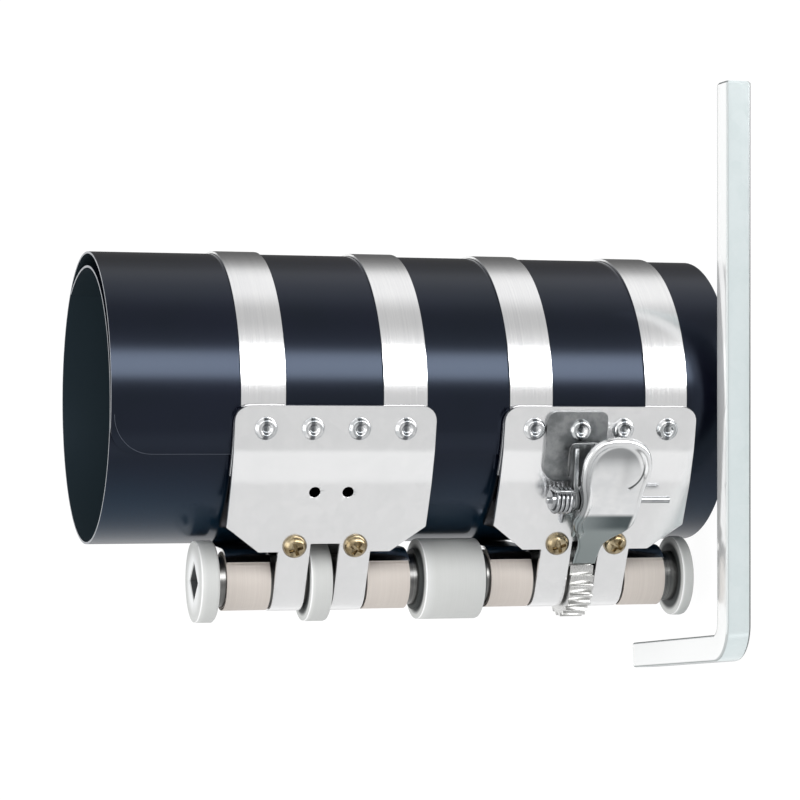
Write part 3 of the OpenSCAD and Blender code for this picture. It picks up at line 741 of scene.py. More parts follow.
def clampPlate(name, z, pilotHoles):
    arbor, middle = layout["arbor"], layout["outerLayer"]
    front = softLine(leafLine(0, plate["lead"], plate["lastLen"]), plate["bendR"])
    ears = arcPoints(arbor, plate["earR"], 270 - layout["flatTilt"], plate["backStart"] - 180)
    back = arcPoints(middle, plate["backR"], plate["backStart"], plate["backStop"])
    line = front + ears[1:] + back
    tangent = runTo(line, len(front) - 1)
    earEnd = runTo(line, len(front) + len(ears) - 2)
    backStart = runTo(line, len(front) + len(ears) - 1)
    end = runTo(line, len(line) - 1)

    def onBack(x):
        a, b = ears[-1], back[0]
        return earEnd + (backStart - earEnd) * (x - a[0]) / (b[0] - a[0])

    half, r = layout["plateH"] / 2, plate["cornerR"]
    flatStart = tangent - plate["lastLen"]
    full, low = flatStart + plate["full"], flatStart + plate["low"]
    backFull, backLow = onBack(plate["backFullX"]), onBack(plate["backLowX"])
    upper = roundCorner((0, half), (0, -1), (1, 0), r)
    shoulder, earOut = half - plate["chamfer"], plate["earOut"]
    upper += [(full, half), (low, shoulder), (low, earOut)]
    upper += [(backLow, earOut), (backLow, shoulder), (backFull, half)]
    upper += roundCorner((end, half), (-1, 0), (0, -1), r)
    outline = upper + [(s, -h) for s, h in reversed(upper)]
    outline = [(s, z + h) for s, h in dense(outline, plate["outlineStep"])]
    slotStart, slotStop = flatStart + plate["slotU"], onBack(float(onPlate(plate["slotU"], 0)[0]))
    w = plate["slotHalf"]
    slot = [(slotStart, z - w), (slotStop, z - w), (slotStop, z + w), (slotStart, z + w)]
    holes = [dense(slot, plate["outlineStep"])]
    if pilotHoles:
        for side in (-1, 1):
            at = (flatStart + layout["pilotU"], z + side * layout["pilotHalf"])
            holes.append(arcPoints(at, layout["pilotR"], 0, 348, 12))
    return foldSheet(name, outline, holes, line, layout["plateT"], finishes["plate"])


dress(clampPlate("upperPlate", layout["upperPlate"], True), "frame", "zinc_plate", "upper_clamp_plate")
dress(clampPlate("lowerPlate", layout["lowerPlate"], False), "frame", "zinc_plate", "lower_clamp_plate")
print("clamp plates folded")


# Geometry Nodes: a tree with named inputs, run on an empty mesh and turned into a plain piece
def nodeTree(name, inputs):
    tree = bpy.data.node_groups.new(name, "GeometryNodeTree")
    for label, kind in inputs.items():
        tree.interface.new_socket(name=label, in_out="INPUT", socket_type="NodeSocket" + kind)
    tree.interface.new_socket(name="Geometry", in_out="OUTPUT", socket_type="NodeSocketGeometry")
    given = tree.nodes.new("NodeGroupInput").outputs
    return tree, {label: Wire(given[label]) for label in inputs}


def closeTree(tree, shape, finish):
    whole = shape.add("GeometryNodeRealizeInstances", (), {0: shape})
    whole = whole.add("GeometryNodeSetMaterial", (), {"Geometry": whole, "Material": finish})
    leaving = tree.nodes.new("NodeGroupOutput")
    tree.links.new(whole.socket, leaving.inputs[0])


def grown(name, tree, values, place, finish, sharp=35, bevel=0.0):
    mesh = bpy.data.meshes.new(name)
    mesh.materials.append(finish)
    piece = bpy.data.objects.new(name, mesh)
    scene.collection.objects.link(piece)
    maker = piece.modifiers.new("maker", "NODES")
    maker.node_group = tree
    for label, value in values.items():
        maker[tree.interface.items_tree[label].identifier] = value
    if bevel:
        bevelled(piece, bevel, 2, 35)
    return settle(piece, sharp, place)


# Round head from a cylinder whose top follows a curve of its radius
def roundHead(start, radius, height, curve, rings=14, around=48):
    drum = start.add("GeometryNodeMeshCylinder", {"fill_type": "TRIANGLE_FAN"},
                     {"Vertices": around, "Side Segments": 1, "Fill Segments": rings, "Radius": radius,
                      "Depth": height})
    x, y, z = start.add("GeometryNodeInputPosition").parts()
    far = x.reach(y)
    rise = far.add("ShaderNodeFloatCurve", {"curve": curve}, {"Value": far / radius})
    level = (z > 0) * rise * height
    at = level.add("ShaderNodeCombineXYZ", (), {0: x, 1: y, 2: level})
    return drum.add("GeometryNodeSetPosition", (), {"Geometry": drum, "Position": at})


# Points in a straight row about the middle
def evenRow(pitch, count):
    first = pitch.add("ShaderNodeCombineXYZ", (), {0: pitch * (0.5 - 0.5 * count)})
    stride = pitch.add("ShaderNodeCombineXYZ", (), {0: pitch})
    return pitch.add("GeometryNodeMeshLine", {"mode": "OFFSET"},
                     {"Count": count, "Start Location": first, "Offset": stride})


# A copy of a head on each point, each turned a little further
def headsOn(row, head, turn, first=0.0):
    index = row.add("GeometryNodeInputIndex")
    spin = index.add("ShaderNodeCombineXYZ", (), {2: first + index * turn})
    return row.add("GeometryNodeInstanceOnPoints", (), {"Points": row, "Instance": head, "Rotation": spin})


# Frame of a fastener on a leaf: X up the tool, Z off the leaf
def outwardFrame(at, tilt, z):
    way = outward(tilt)
    side = np.cross((0, 0, 1), (way[0], way[1], 0))
    return Matrix(((0, side[0], way[0], at[0] * mm), (0, side[1], way[1], at[1] * mm),
                   (1, side[2], 0, z * mm), (0, 0, 0, 1)))


# Rivets: domed heads with a round dimple, four in a row on each plate
rivets = dict(headD=5.3, headH=1.15, grip=1.02, turn=0.9,
              dome=[(0, 0.42), (0.26, 0.46), (0.44, 0.80), (0.58, 0.98), (0.72, 0.96), (0.9, 0.62),
                    (1, 0.12)])


def rivetRowTree():
    tree, given = nodeTree("rivetRow", {"Head Diameter": "Float", "Head Height": "Float", "Pitch": "Float",
                                        "Raised Rivet": "Int", "Lift": "Float"})
    start = given["Pitch"]
    head = roundHead(start, given["Head Diameter"] * 0.5, given["Head Height"], rivets["dome"])
    row = evenRow(start, 4)
    index = start.add("GeometryNodeInputIndex")
    here = index.add("FunctionNodeCompare", {"data_type": "INT", "operation": "EQUAL"},
                     {2: index, 3: given["Raised Rivet"]})
    lift = start.add("ShaderNodeCombineXYZ", (), {2: given["Lift"]})
    row = row.add("GeometryNodeSetPosition", (), {"Geometry": row, "Selection": here, "Offset": lift})
    closeTree(tree, headsOn(row, head, rivets["turn"]), finishes["rivet"])
    return tree


rivetTree = rivetRowTree()
for rowName, z, raised, node in (("upperRivets", layout["upperPlate"], -1, "upper_plate_rivets"),
                                 ("lowerRivets", layout["lowerPlate"], 2, "lower_plate_rivets")):
    face = np.array(plate["rivetAt"]) + plate["seat"] * outward(plate["rivetTilt"])
    row = grown(rowName, rivetTree,
                {"Head Diameter": rivets["headD"] * mm, "Head Height": rivets["headH"] * mm,
                 "Pitch": layout["rivetPitch"] * mm, "Raised Rivet": raised, "Lift": rivets["grip"] * mm},
                outwardFrame(face, plate["rivetTilt"], z), finishes["rivet"])
    dress(row, "frame", "rivet_steel", node)
print("rivets set")

# Screws: pan heads with a cross recess, one at the root of each ear
screws = dict(headD=5.7, headH=1.9, crossW=0.85, crossL=3.3, crossDepth=1.1, first=0.5, turn=0.75, edge=0.06,
              pan=[(0, 1.0), (0.35, 0.97), (0.62, 0.86), (0.84, 0.62), (0.96, 0.38), (1, 0.2)])


def screwPairTree():
    inputs = ("Head Diameter", "Head Height", "Spread", "Cross Width", "Cross Length", "Cross Depth")
    tree, given = nodeTree("screwPair", {label: "Float" for label in inputs})
    start = given["Spread"]
    head = roundHead(start, given["Head Diameter"] * 0.5, given["Head Height"], screws["pan"])
    size = start.add("ShaderNodeCombineXYZ", (), {0: given["Cross Length"], 1: given["Cross Width"],
                                                  2: given["Cross Depth"] * 2})
    bar = start.add("GeometryNodeMeshCube", (), {"Size": size})
    up = start.add("ShaderNodeCombineXYZ", (), {2: given["Head Height"]})
    one = bar.add("GeometryNodeTransform", (), {"Geometry": bar, "Translation": up})
    two = bar.add("GeometryNodeTransform", (),
                  {"Geometry": bar, "Translation": up, "Rotation": (0, 0, math.pi / 2)})
    cross = one.add("GeometryNodeMeshBoolean", {"operation": "UNION", "solver": "EXACT"}, {"Mesh 2": one})
    tree.links.new(two.socket, cross.socket.node.inputs["Mesh 2"])
    cut = head.add("GeometryNodeMeshBoolean", {"operation": "DIFFERENCE", "solver": "EXACT"},
                   {"Mesh 1": head, "Mesh 2": cross})
    pair = headsOn(evenRow(start, 2), cut, screws["turn"], screws["first"])
    closeTree(tree, pair, finishes["screw"])
    return tree


screwTree = screwPairTree()
for pairName, z, node in (("upperScrews", layout["upperPlate"], "upper_plate_screws"),
                          ("lowerScrews", layout["lowerPlate"], "lower_plate_screws")):
    pair = grown(pairName, screwTree,
                 {"Head Diameter": screws["headD"] * mm, "Head Height": screws["headH"] * mm,
                  "Spread": 2 * plate["earMid"] * mm, "Cross Width": screws["crossW"] * mm,
                  "Cross Length": screws["crossL"] * mm, "Cross Depth": screws["crossDepth"] * mm},
                 outwardFrame(onPlate(plate["screwU"], plate["seat"]), layout["flatTilt"], z),
                 finishes["screw"], bevel=screws["edge"])
    dress(pair, "frame", "yellow_zinc", node)
print("screws set")

# Discs on the arbor: chamfered rims, and short hubs on the collar
discs = dict(chamfer=0.45, hubR=7.2, hubLen=0.9, bore=6.02, capT=2.18, mouth=3.25, mouthDeep=3.0,
             mouthEdge=0.25)


# Rounded rim of a disc, from its face at a height to its wall; way is 1 upwards and -1 downwards
def rimLine(z, way):
    c, r = discs["chamfer"], layout["discR"]
    return [(r - c, z), (r - 0.3 * c, z + way * 0.15 * c), (r, z + way * c)]


def discSection(low, high, hub):
    bore, hubR = discs["bore"], discs["hubR"]
    section = [(bore, low)] + ([(hubR, low), (hubR, low + hub)] if hub else [])
    section += rimLine(low + hub, 1) + rimLine(high - hub, -1)[::-1]
    return section + ([(hubR, high - hub), (hubR, high)] if hub else []) + [(bore, high)]


for discName, node, hub in (("guideDisc", "guide_disc", 0),
                            ("middleCollar", "middle_collar", discs["hubLen"]),
                            ("bottomFlange", "bottom_flange", 0)):
    low, high = (corner.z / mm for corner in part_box(node))
    dress(turnedPiece(discName, discSection(low, high, hub)), "arbor", "turned_steel", node)


def cutBy(piece, cutter):
    knife = piece.modifiers.new("cut", "BOOLEAN")
    knife.operation = "DIFFERENCE"
    knife.solver = "EXACT"
    knife.object = cutter
    settle(piece, 30)
    bpy.data.objects.remove(cutter)


# Top flange: a cap with a square mouth whose edges are broken
def squareMouth(name, half, low, high, flare):
    corners = []
    for z, reach in ((low, half), (high - flare, half), (high, half + 2 * flare)):
        corners += [(*polar(layout["arbor"], reach * math.sqrt(2), 90 * k), z) for k in range(4)]
    faces = [(0, 1, 2, 3), (8, 9, 10, 11)]
    for ring in (0, 4):
        faces += [(ring + k, ring + (k + 1) % 4, ring + 4 + (k + 1) % 4, ring + 4 + k) for k in range(4)]
    return meshPiece(name, corners, faces, finishes["turned"])


def cappedFlange():
    low, high = (corner.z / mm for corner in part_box("top_flange"))
    c, r, bore, roof = discs["chamfer"], layout["discR"], discs["bore"], high - discs["capT"]
    outline = [(0, high)] + rimLine(high, -1)
    outline += [(r, low + c), (r - c, low), (bore, low), (bore, roof), (0, roof)]
    cap = turnedPiece("topFlange", outline, closed=False)
    form = bmesh.new()
    form.from_mesh(cap.data)
    bmesh.ops.dissolve_degenerate(form, edges=form.edges, dist=0.001 * mm)
    bmesh.ops.recalc_face_normals(form, faces=form.faces)
    form.to_mesh(cap.data)
    form.free()
    deep = high - discs["mouthDeep"]
    cutBy(cap, squareMouth("mouth", discs["mouth"], deep, high + 0.01, discs["mouthEdge"]))
    return cap


dress(cappedFlange(), "arbor", "turned_steel", "top_flange")
print("arbor discs turned")

# Ratchet: saw teeth that climb against the clock
ratchet = dict(teeth=24, depth=1.2, thick=5.8, phase=0.24, corners=4, stride=0.31, crest=0.9,
               tip=(21.9458, 0.85), edge=0.14)


def ratchetTree():
    tree, given = nodeTree("ratchet", {"Teeth": "Int", "Radius": "Float", "Tooth Depth": "Float",
                                       "Thickness": "Float", "Start Angle": "Float"})
    teeth = given["Teeth"]
    corners = ratchet["corners"]
    ring = teeth.add("GeometryNodeMeshCircle", {"fill_type": "NGON"},
                     {"Vertices": teeth * corners, "Radius": given["Radius"]})
    index = teeth.add("GeometryNodeInputIndex")
    tooth = index.maths("FLOOR", index / corners)
    part = (index - corners * tooth) * ratchet["stride"]
    rise = (part / ratchet["crest"]).least(1.0)
    far = given["Radius"] - given["Tooth Depth"] * (1 - rise)
    turn = given["Start Angle"] + (tooth + part) * (2 * math.pi) / teeth
    at = far.add("ShaderNodeCombineXYZ", (),
                 {0: far * turn.maths("COSINE", turn), 1: far * turn.maths("SINE", turn)})
    flat = ring.add("GeometryNodeSetPosition", (), {"Geometry": ring, "Position": at})
    under = flat.add("GeometryNodeFlipFaces", (), {0: flat})
    up = teeth.add("ShaderNodeCombineXYZ", (), {2: 1.0})
    block = flat.add("GeometryNodeExtrudeMesh", {"mode": "FACES"},
                     {"Mesh": flat, "Offset": up, "Offset Scale": given["Thickness"], "Individual": False})
    both = block.add("GeometryNodeJoinGeometry", (), {0: block})
    tree.links.new(under.socket, both.socket.node.inputs[0])
    solid = both.add("GeometryNodeMergeByDistance", (), {"Geometry": both, "Distance": 0.00001})
    closeTree(tree, solid, finishes["ratchet"])
    return tree


def ratchetWheel():
    tipU, tipTop = ratchet["tip"]
    step = 360 / ratchet["teeth"]
    tip = math.degrees(math.atan2(tipTop + plate["earR"], tipU - plate["lastLen"])) + 180 - layout["flatTilt"]
    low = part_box("ratchet_wheel")[0].z
    place = Matrix.Translation((layout["arbor"][0] * mm, layout["arbor"][1] * mm, low))
    sizes = {"Teeth": ratchet["teeth"], "Radius": layout["discR"] * mm, "Tooth Depth": ratchet["depth"] * mm,
             "Thickness": ratchet["thick"] * mm, "Start Angle": math.radians(tip + ratchet["phase"] * step)}
    wheel = grown("ratchetWheel", ratchetTree(), sizes, place, finishes["ratchet"], 25, ratchet["edge"])
    dress(wheel, "arbor", "turned_steel", "ratchet_wheel")


ratchetWheel()
print("ratchet cut")

# Wound ends of the bands: a strip in a tight spiral round the arbor
coils = dict(turns=2.0, inner=6.27, outer=6.75, strip=0.46, turnEach=1.1)


def coilTree():
    tree, given = nodeTree("woundStrip", {"Turns": "Float", "Inner Radius": "Float", "Outer Radius": "Float",
                                          "Strip": "Float", "Width": "Float"})
    turns = given["Turns"]
    spiral = turns.add("GeometryNodeCurveSpiral", (), {"Resolution": 72, "Rotations": turns, "Height": 0.0,
                                                       "Start Radius": given["Inner Radius"],
                                                       "End Radius": given["Outer Radius"]})
    spiral = spiral.add("GeometryNodeSetCurveNormal", {"mode": "Z_UP"}, {"Curve": spiral})
    section = turns.add("GeometryNodeCurvePrimitiveQuadrilateral", {"mode": "RECTANGLE"},
                        {"Width": given["Strip"], "Height": given["Width"]})
    ribbon = spiral.add("GeometryNodeCurveToMesh", (),
                        {"Curve": spiral, "Profile Curve": section, "Fill Caps": True})
    closeTree(tree, ribbon, finishes["coil"])
    return tree


woundTree = coilTree()
for i, z in enumerate(layout["bandHeights"]):
    place = Matrix.Translation((layout["arbor"][0] * mm, layout["arbor"][1] * mm, z * mm))
    place = place @ Matrix.Rotation(coils["turnEach"] * i, 4, "Z")
    sizes = {"Turns": coils["turns"], "Inner Radius": coils["inner"] * mm, "Outer Radius": coils["outer"] * mm,
             "Strip": coils["strip"] * mm, "Width": layout["bandW"] * mm}
    coil = grown(f"woundStrip{i + 1}", woundTree, sizes, place, finishes["coil"])
    dress(coil, "arbor", "coil_steel", f"band_coil_{i + 1}")
print("band ends wound")


# Pawl parts stand on the last flat of the lower plate: u towards the arbor, h off the plate, w along Z
def pawlPoint(u, h, w):
    x, y = onPlate(u, h)
    return (float(x), float(y), layout["lowerPlate"] + w)


# Smooth curve through given points
def throughPoints(places, perSpan):
    pts = np.array(places, float)
    last = len(pts) - 1
    line = []
    for i in range(last):
        a, b, c, d = pts[max(i - 1, 0)], pts[i], pts[i + 1], pts[min(i + 2, last)]
        for k in range(perSpan):
            t = k / perSpan
            line.append(0.5 * (2 * b + (c - a) * t + (2 * a - 5 * b + 4 * c - d) * t * t
                               + (3 * b - a - 3 * c + d) * t ** 3))
    return [tuple(p) for p in line + [pts[-1]]]


# Release lever: a stamped spoon with a rolled rim, a bend at the hip and a tongue on the teeth
lever = dict(
    outline=[(21.4, 2.75), (18.6, 2.8), (15.4, 2.9), (12.4, 4.0), (9.6, 5.7), (7.0, 6.5), (4.4, 6.05),
             (1.6, 5.9), (-1.4, 6.5), (-4.4, 7.3), (-7.6, 7.5), (-10.4, 7.2), (-13.0, 5.9), (-14.8, 3.9),
             (-15.7, 1.4), (-15.9, -1.4), (-15.5, -4.2), (-14.3, -6.7), (-12.3, -8.5), (-9.6, -9.4),
             (-6.8, -9.35), (-3.6, -8.7), (-0.4, -8.45), (2.8, -8.55), (5.8, -8.6), (8.3, -8.3), (10.6, -7.0),
             (12.6, -4.9), (14.8, -3.3), (18.0, -3.0), (21.4, -3.0)],
    profile=[(-19, 9.4), (-15.9, 9.7), (-11, 9.9), (-6, 10.2), (-1, 9.9), (3.2, 8.9), (8.0, 6.9), (14.6, 3.5),
             (18.5, 1.95), (21.4, 0.98), (23, 0.6)],
    rimR=1.15, rimU=(13.0, 9.5), sheet=1.0, plain=0.75, plainU=(-11, -5), plainW=(-3, -6),
    dish=0.6, dishU=(-17, -11, -4, 6), dishW=(-6.5, -0.5), dishFrom=1.1, dishSlope=2.4,
    crease=[(-9.2, -7.5), (-7.4, -7.6), (-5.8, -7.0), (-4.4, -5.9), (-3.1, -4.5)],
    creaseDeep=0.1, creaseW=0.3)
# How finely the spoon is laid out: rings inside its edge, a grid between them and rows along the crease
spoonGrid = dict(edgeStep=0.45, rings=(0.09, 0.34, 0.72, 1.15, 1.6, 2.05, 2.5, 3.0), slack=0.03, grid=0.5,
                 spanU=(-16, 22), spanW=(-10, 8), edgeClear=3.3, gridClear=0.7, ringClear=0.5, rowStep=0.3,
                 rows=((0, 0), (0.2, 0.1), (-0.2, -0.1), (0.42, 0.2), (-0.42, -0.2)))


def easeIn(value, low, high):
    t = np.clip((value - low) / (high - low), 0, 1)
    return t * t * (3 - 2 * t)


def leverHeights(flat, away):
    u, w = flat[:, 0], flat[:, 1]
    line = np.array(throughPoints(lever["profile"], 8))
    order = np.argsort(line[:, 0])
    half = lever["sheet"] / 2
    middle = np.interp(u, line[order, 0], line[order, 1]) - half
    bead = easeIn(u, *lever["rimU"])  # the rim thins out to the bare edge of the tongue
    bead *= 1 - lever["plain"] * easeIn(w, *lever["plainW"]) * easeIn(u, *lever["plainU"])
    r = half + bead * (lever["rimR"] - half)
    swell = np.sqrt(np.clip(1 - (np.clip(away, 0, 2 * r) / r - 1) ** 2, 0, 1)) * r
    sunk = easeIn(away, lever["dishFrom"] * r, lever["dishFrom"] * r + lever["dishSlope"])
    hollow = np.interp(u, lever["dishU"], (0, 1, 1, 0)) * easeIn(w, *lever["dishW"])
    floor = middle - lever["dish"] * sunk * hollow
    thick = np.where(away < r, swell, np.maximum(swell * (1 - sunk), half))
    tick = lever["creaseDeep"] * np.exp(-(awayFrom(flat, creaseLoop()) / lever["creaseW"]) ** 2)
    return floor + thick - tick, floor - thick


# Press mark on the pad, as a loop that runs there and back
def creaseLoop():
    line = throughPoints(lever["crease"], 6)
    return line + line[-2:0:-1]


def spoon():
    outline = throughPoints(lever["outline"][:-1], 6) + [lever["outline"][-1]]
    outline = dense(outline, spoonGrid["edgeStep"])
    loop = np.array(outline)
    run = np.roll(loop, -1, axis=0) - np.roll(loop, 1, axis=0)
    inward = np.column_stack([-run[:, 1], run[:, 0]])
    inward /= np.linalg.norm(inward, axis=1)[:, None]
    extra = []
    for depth in spoonGrid["rings"]:
        ring = loop + depth * inward
        fits = inside(ring, outline) & (awayFrom(ring, outline) > depth - spoonGrid["slack"])
        extra += [tuple(p) for p in ring[fits]]
    u, w = np.meshgrid(np.arange(*spoonGrid["spanU"], spoonGrid["grid"]),
                       np.arange(*spoonGrid["spanW"], spoonGrid["grid"]))
    grid = np.column_stack([u.ravel(), w.ravel()])
    mark = creaseLoop()
    fits = inside(grid, outline) & (awayFrom(grid, outline) > spoonGrid["edgeClear"])
    fits &= awayFrom(grid, mark) > spoonGrid["gridClear"]
    extra = [p for p, far in zip(extra, awayFrom(extra, mark)) if far > spoonGrid["ringClear"]]
    fine = np.array(dense(throughPoints(lever["crease"], 6), spoonGrid["rowStep"], False))
    for shift in spoonGrid["rows"]:
        extra += [tuple(p) for p in fine + np.array(shift)]
    flat, faces = flatPattern(outline, [], extra + [tuple(p) for p in grid[fits]])
    away = awayFrom(flat, outline)
    away[:len(outline)] = 0
    points = [pawlPoint(u, h, w) for heights in leverHeights(flat, away) for (u, w), h in zip(flat, heights)]
    total = len(flat)
    shells = faces.tolist() + [[total + v for v in f[::-1]] for f in faces.tolist()]
    return meshPiece("spoon", points, shells, finishes["lever"], 60)


# Two equal upright walls, one on each side of the middle of the pawl
def uprightPair(name, edge, look, finish):
    made = []
    for side in (-1, 1):
        low = side * (look["inner"] + look["thick"] / 2) - look["thick"] / 2
        wall = prism(name, edge, low, low + look["thick"], finish, pawlPoint)
        bevelled(wall, look["edge"], 3)
        made.append(settle(wall))
    return made


# Cheeks that hang from the spoon on the pin
cheeks = dict(inner=4.6, thick=1.0, pin=(2.4, 4.6), eye=2.0, edge=0.25,
              web=[(8.6, 5.2), (11.4, 3.9), (12.2, 4.3), (8.4, 6.0), (4.4, 7.4), (-4.0, 8.2), (-6.0, 8.0),
                   (-4.6, 7.0)])
cheekEdge = [polar(cheeks["pin"], cheeks["eye"], a) for a in range(180, 361, 15)] + cheeks["web"]
releasePiece = joined("releaseLever", [spoon()] + uprightPair("cheek", cheekEdge, cheeks, finishes["lever"]),
                      finishes["lever"])
smoothShade(releasePiece.data, 50)
dress(releasePiece, "pawl", "lever_steel", "pawl_lever")
print("release lever pressed")

# Pawl bracket: a tab under the second rivet with two upright ears for the pin
bracket = dict(thick=1.0, off=1.02, before=4.3, length=5.0, up=13.8, inner=5.8, corner=2.6, foot=5.9,
               footCorner=3.8, down=1.2, stepIn=3.6, stepCorner=1.6, earEye=2.4, edge=0.22, grid=(0.9, 1.6),
               slit=[(7.5, 0.4), (7.55, 4.0), (7.7, 6.6), (8.4, 7.5), (9.8, 7.7), (13.2, 7.6), (15.6, 7.5)],
               slitHalf=0.26, earFront=[(-9.4, 1.0), (4.6, 0.9), (5.0, 2.2), (5.0, 4.6)],
               earBack=[(-0.6, 4.6), (-5.0, 3.0), (-9.4, 1.5)])


# Closed loop round an open line
def bandAround(line, half):
    points = np.array(line, float)
    run = np.gradient(points, axis=0)
    side = np.column_stack([-run[:, 1], run[:, 0]])
    side *= half / np.linalg.norm(side, axis=1)[:, None]
    return [tuple(p) for p in points + side] + [tuple(p) for p in (points - side)[::-1]]


def pawlBracket():
    z = layout["lowerPlate"]
    line = softLine(leafLine(bracket["off"], bracket["before"], bracket["length"]), plate["bendR"])
    end = runTo(line, len(line) - 1)
    foot, stepAt = end - bracket["foot"], bracket["before"] + bracket["stepIn"]
    top, low, step = z + bracket["up"], z - bracket["inner"] - bracket["thick"], z - bracket["down"]
    outline = roundCorner((0, top), (0, -1), (1, 0), bracket["corner"])
    outline += roundCorner((foot, top), (-1, 0), (0, -1), bracket["footCorner"])
    outline += [(foot, z + bracket["inner"]), (end, z + bracket["inner"]), (end, z - bracket["inner"]),
                (foot, z - bracket["inner"]), (foot, low), (stepAt, low), (stepAt, step)]
    outline += roundCorner((0, step), (1, 0), (0, 1), bracket["stepCorner"])
    slit = throughPoints([(s, z + w) for s, w in bracket["slit"]], 6)
    slit = bandAround(slit, bracket["slitHalf"])
    tab = foldSheet("tab", dense(outline, 1.0), [slit], line, bracket["thick"], finishes["bracket"],
                    bracket["grid"])
    eye = [polar(cheeks["pin"], bracket["earEye"], a) for a in range(15, 166, 15)]
    ears = uprightPair("ear", bracket["earFront"] + eye + bracket["earBack"], bracket, finishes["bracket"])
    whole = joined("pawlBracket", [tab] + ears, finishes["bracket"])
    smoothShade(whole.data, 40)
    return whole


dress(pawlBracket(), "frame", "bracket_steel", "pawl_bracket")
print("pawl bracket bent")

# Pawl spring: a leg on the plate, close turns about the pin and a hook under the spoon
spring = dict(radius=2.75, wire=0.45, turns=4.25, pitch=1.05, low=7.4, steps=28, leg=(7.5, 0.99),
              lift=(3.5, 0.15), hook=(0.6, 0.35), hookEnd=-0.1,
              hookBend=[(0.2, -0.9, 0), (0, -0.2, -0.25), (0, 0, -0.9)],
              still=(4.2, 3.0, 9), carried=(-0.4, 6.6, 9))


def springWire():
    pu, ph = cheeks["pin"]
    r, low, steps = spring["radius"], spring["low"], spring["steps"]
    path = [(pu + spring["leg"][0], spring["leg"][1], low),
            (pu + spring["lift"][0], ph - r - spring["lift"][1], low)]
    for i in range(int(steps * spring["turns"]) + 1):
        path.append((*polar((pu, ph), r, -90 - 360 * i / steps), low + spring["pitch"] * i / steps))
    high = path[-1][2]
    hookU, hookH = pu - r - spring["hook"][0], ph + r - spring["hook"][1]
    path += [(hookU + a, hookH + b, high + c) for a, b, c in spring["hookBend"]]
    path.append((hookU, hookH, low + spring["hookEnd"]))
    return [pawlPoint(*p) for p in path]


def wirePiece(name, path, radius, finish):
    curve = bpy.data.curves.new(name, "CURVE")
    curve.dimensions = "3D"
    curve.bevel_depth = radius * mm
    curve.bevel_resolution = 4
    curve.use_fill_caps = True
    strand = curve.splines.new("POLY")
    strand.points.add(len(path) - 1)
    for point, place in zip(strand.points, path):
        point.co = (*(c * mm for c in place), 1)
    maker = bpy.data.objects.new(name + "Path", curve)
    scene.collection.objects.link(maker)
    mesh = bpy.data.meshes.new_from_object(maker.evaluated_get(bpy.context.evaluated_depsgraph_get()))
    bpy.data.objects.remove(maker)
    mesh.name = name
    mesh.materials.clear()
    mesh.materials.append(finish)
    piece = bpy.data.objects.new(name, mesh)
    scene.collection.objects.link(piece)
    smoothShade(mesh, 50)
    return piece


springPiece = wirePiece("pawlSpring", springWire(), spring["wire"], finishes["spring"])
tuple(c * mm for c in pawlPoint(*spring["still"]))
tuple(c * mm for c in pawlPoint(*spring["carried"]))
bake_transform(springPiece)
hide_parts("pawl_spring")
print("pawl spring wound")

# Key: a bent square bar with rounded edges and broken ends
key = dict(side=6.3, corner=(-50.2, -43.0), bendR=6.15, long=137.0, short=63.0, bend=96.0, yaw=1.6, edgeR=0.7,
           endLen=0.5, endTaper=0.86, inset=8)


def squareKey():
    h, r = key["side"] / 2, key["edgeR"]
    section = []
    for sx, sy, start in ((1, 1, 0), (-1, 1, 90), (-1, -1, 180), (1, -1, 270)):
        section += [polar((sx * (h - r), sy * (h - r)), r, start + a) for a in (0, 30, 60, 90)]
    turn = 180 - key["bend"]
    straight, inset, endLen = key["bendR"] + h, key["inset"], key["endLen"]
    far, reach = key["long"] - straight, key["short"] - straight
    swing = np.array(arcPoints((0, key["bendR"]), key["bendR"], 270, 270 - turn, 4))
    way = np.array(polar((0, 0), 1, 180 - turn))
    path = [np.array((x, 0.0)) for x in (far, far - endLen, *np.linspace(far - inset, inset, 12))]
    path += list(swing)
    path += [swing[-1] + way * d for d in (*np.linspace(inset, reach - inset, 5), reach - endLen, reach)]
    yaw = math.radians(key["yaw"])
    spin = np.array(((math.cos(yaw), -math.sin(yaw)), (math.sin(yaw), math.cos(yaw))))
    points, faces = [], []
    n = len(section)
    for i, here in enumerate(path):
        d = path[min(i + 1, len(path) - 1)] - path[max(i - 1, 0)]
        d = d / np.linalg.norm(d)
        side = np.array((-d[1], d[0]))
        shrink = key["endTaper"] if i in (0, len(path) - 1) else 1.0
        for a, b in section:
            x, y = spin @ (here + side * a * shrink) + np.array(key["corner"])
            points.append((x, y, h + b * shrink))
    for i in range(len(path) - 1):
        for k in range(n):
            faces.append((i * n + k, i * n + (k + 1) % n, (i + 1) * n + (k + 1) % n, (i + 1) * n + k))
    faces += [tuple(range(n)), tuple((len(path) - 1) * n + k for k in range(n))]
    return meshPiece("squareKey", points, faces, finishes["key"], 40)


dress(squareKey(), "key", "key_zinc", "drive_key")
print("key bent")

# The photograph shows the tool on its side, so the camera is rolled a quarter turn
shot = dict(eye=(11.03, -652.47, 260.50), aim=(1.48, 0.0, 73.03), lens=125.74, sensor=36, near=0.05,
            roll=-0.28)


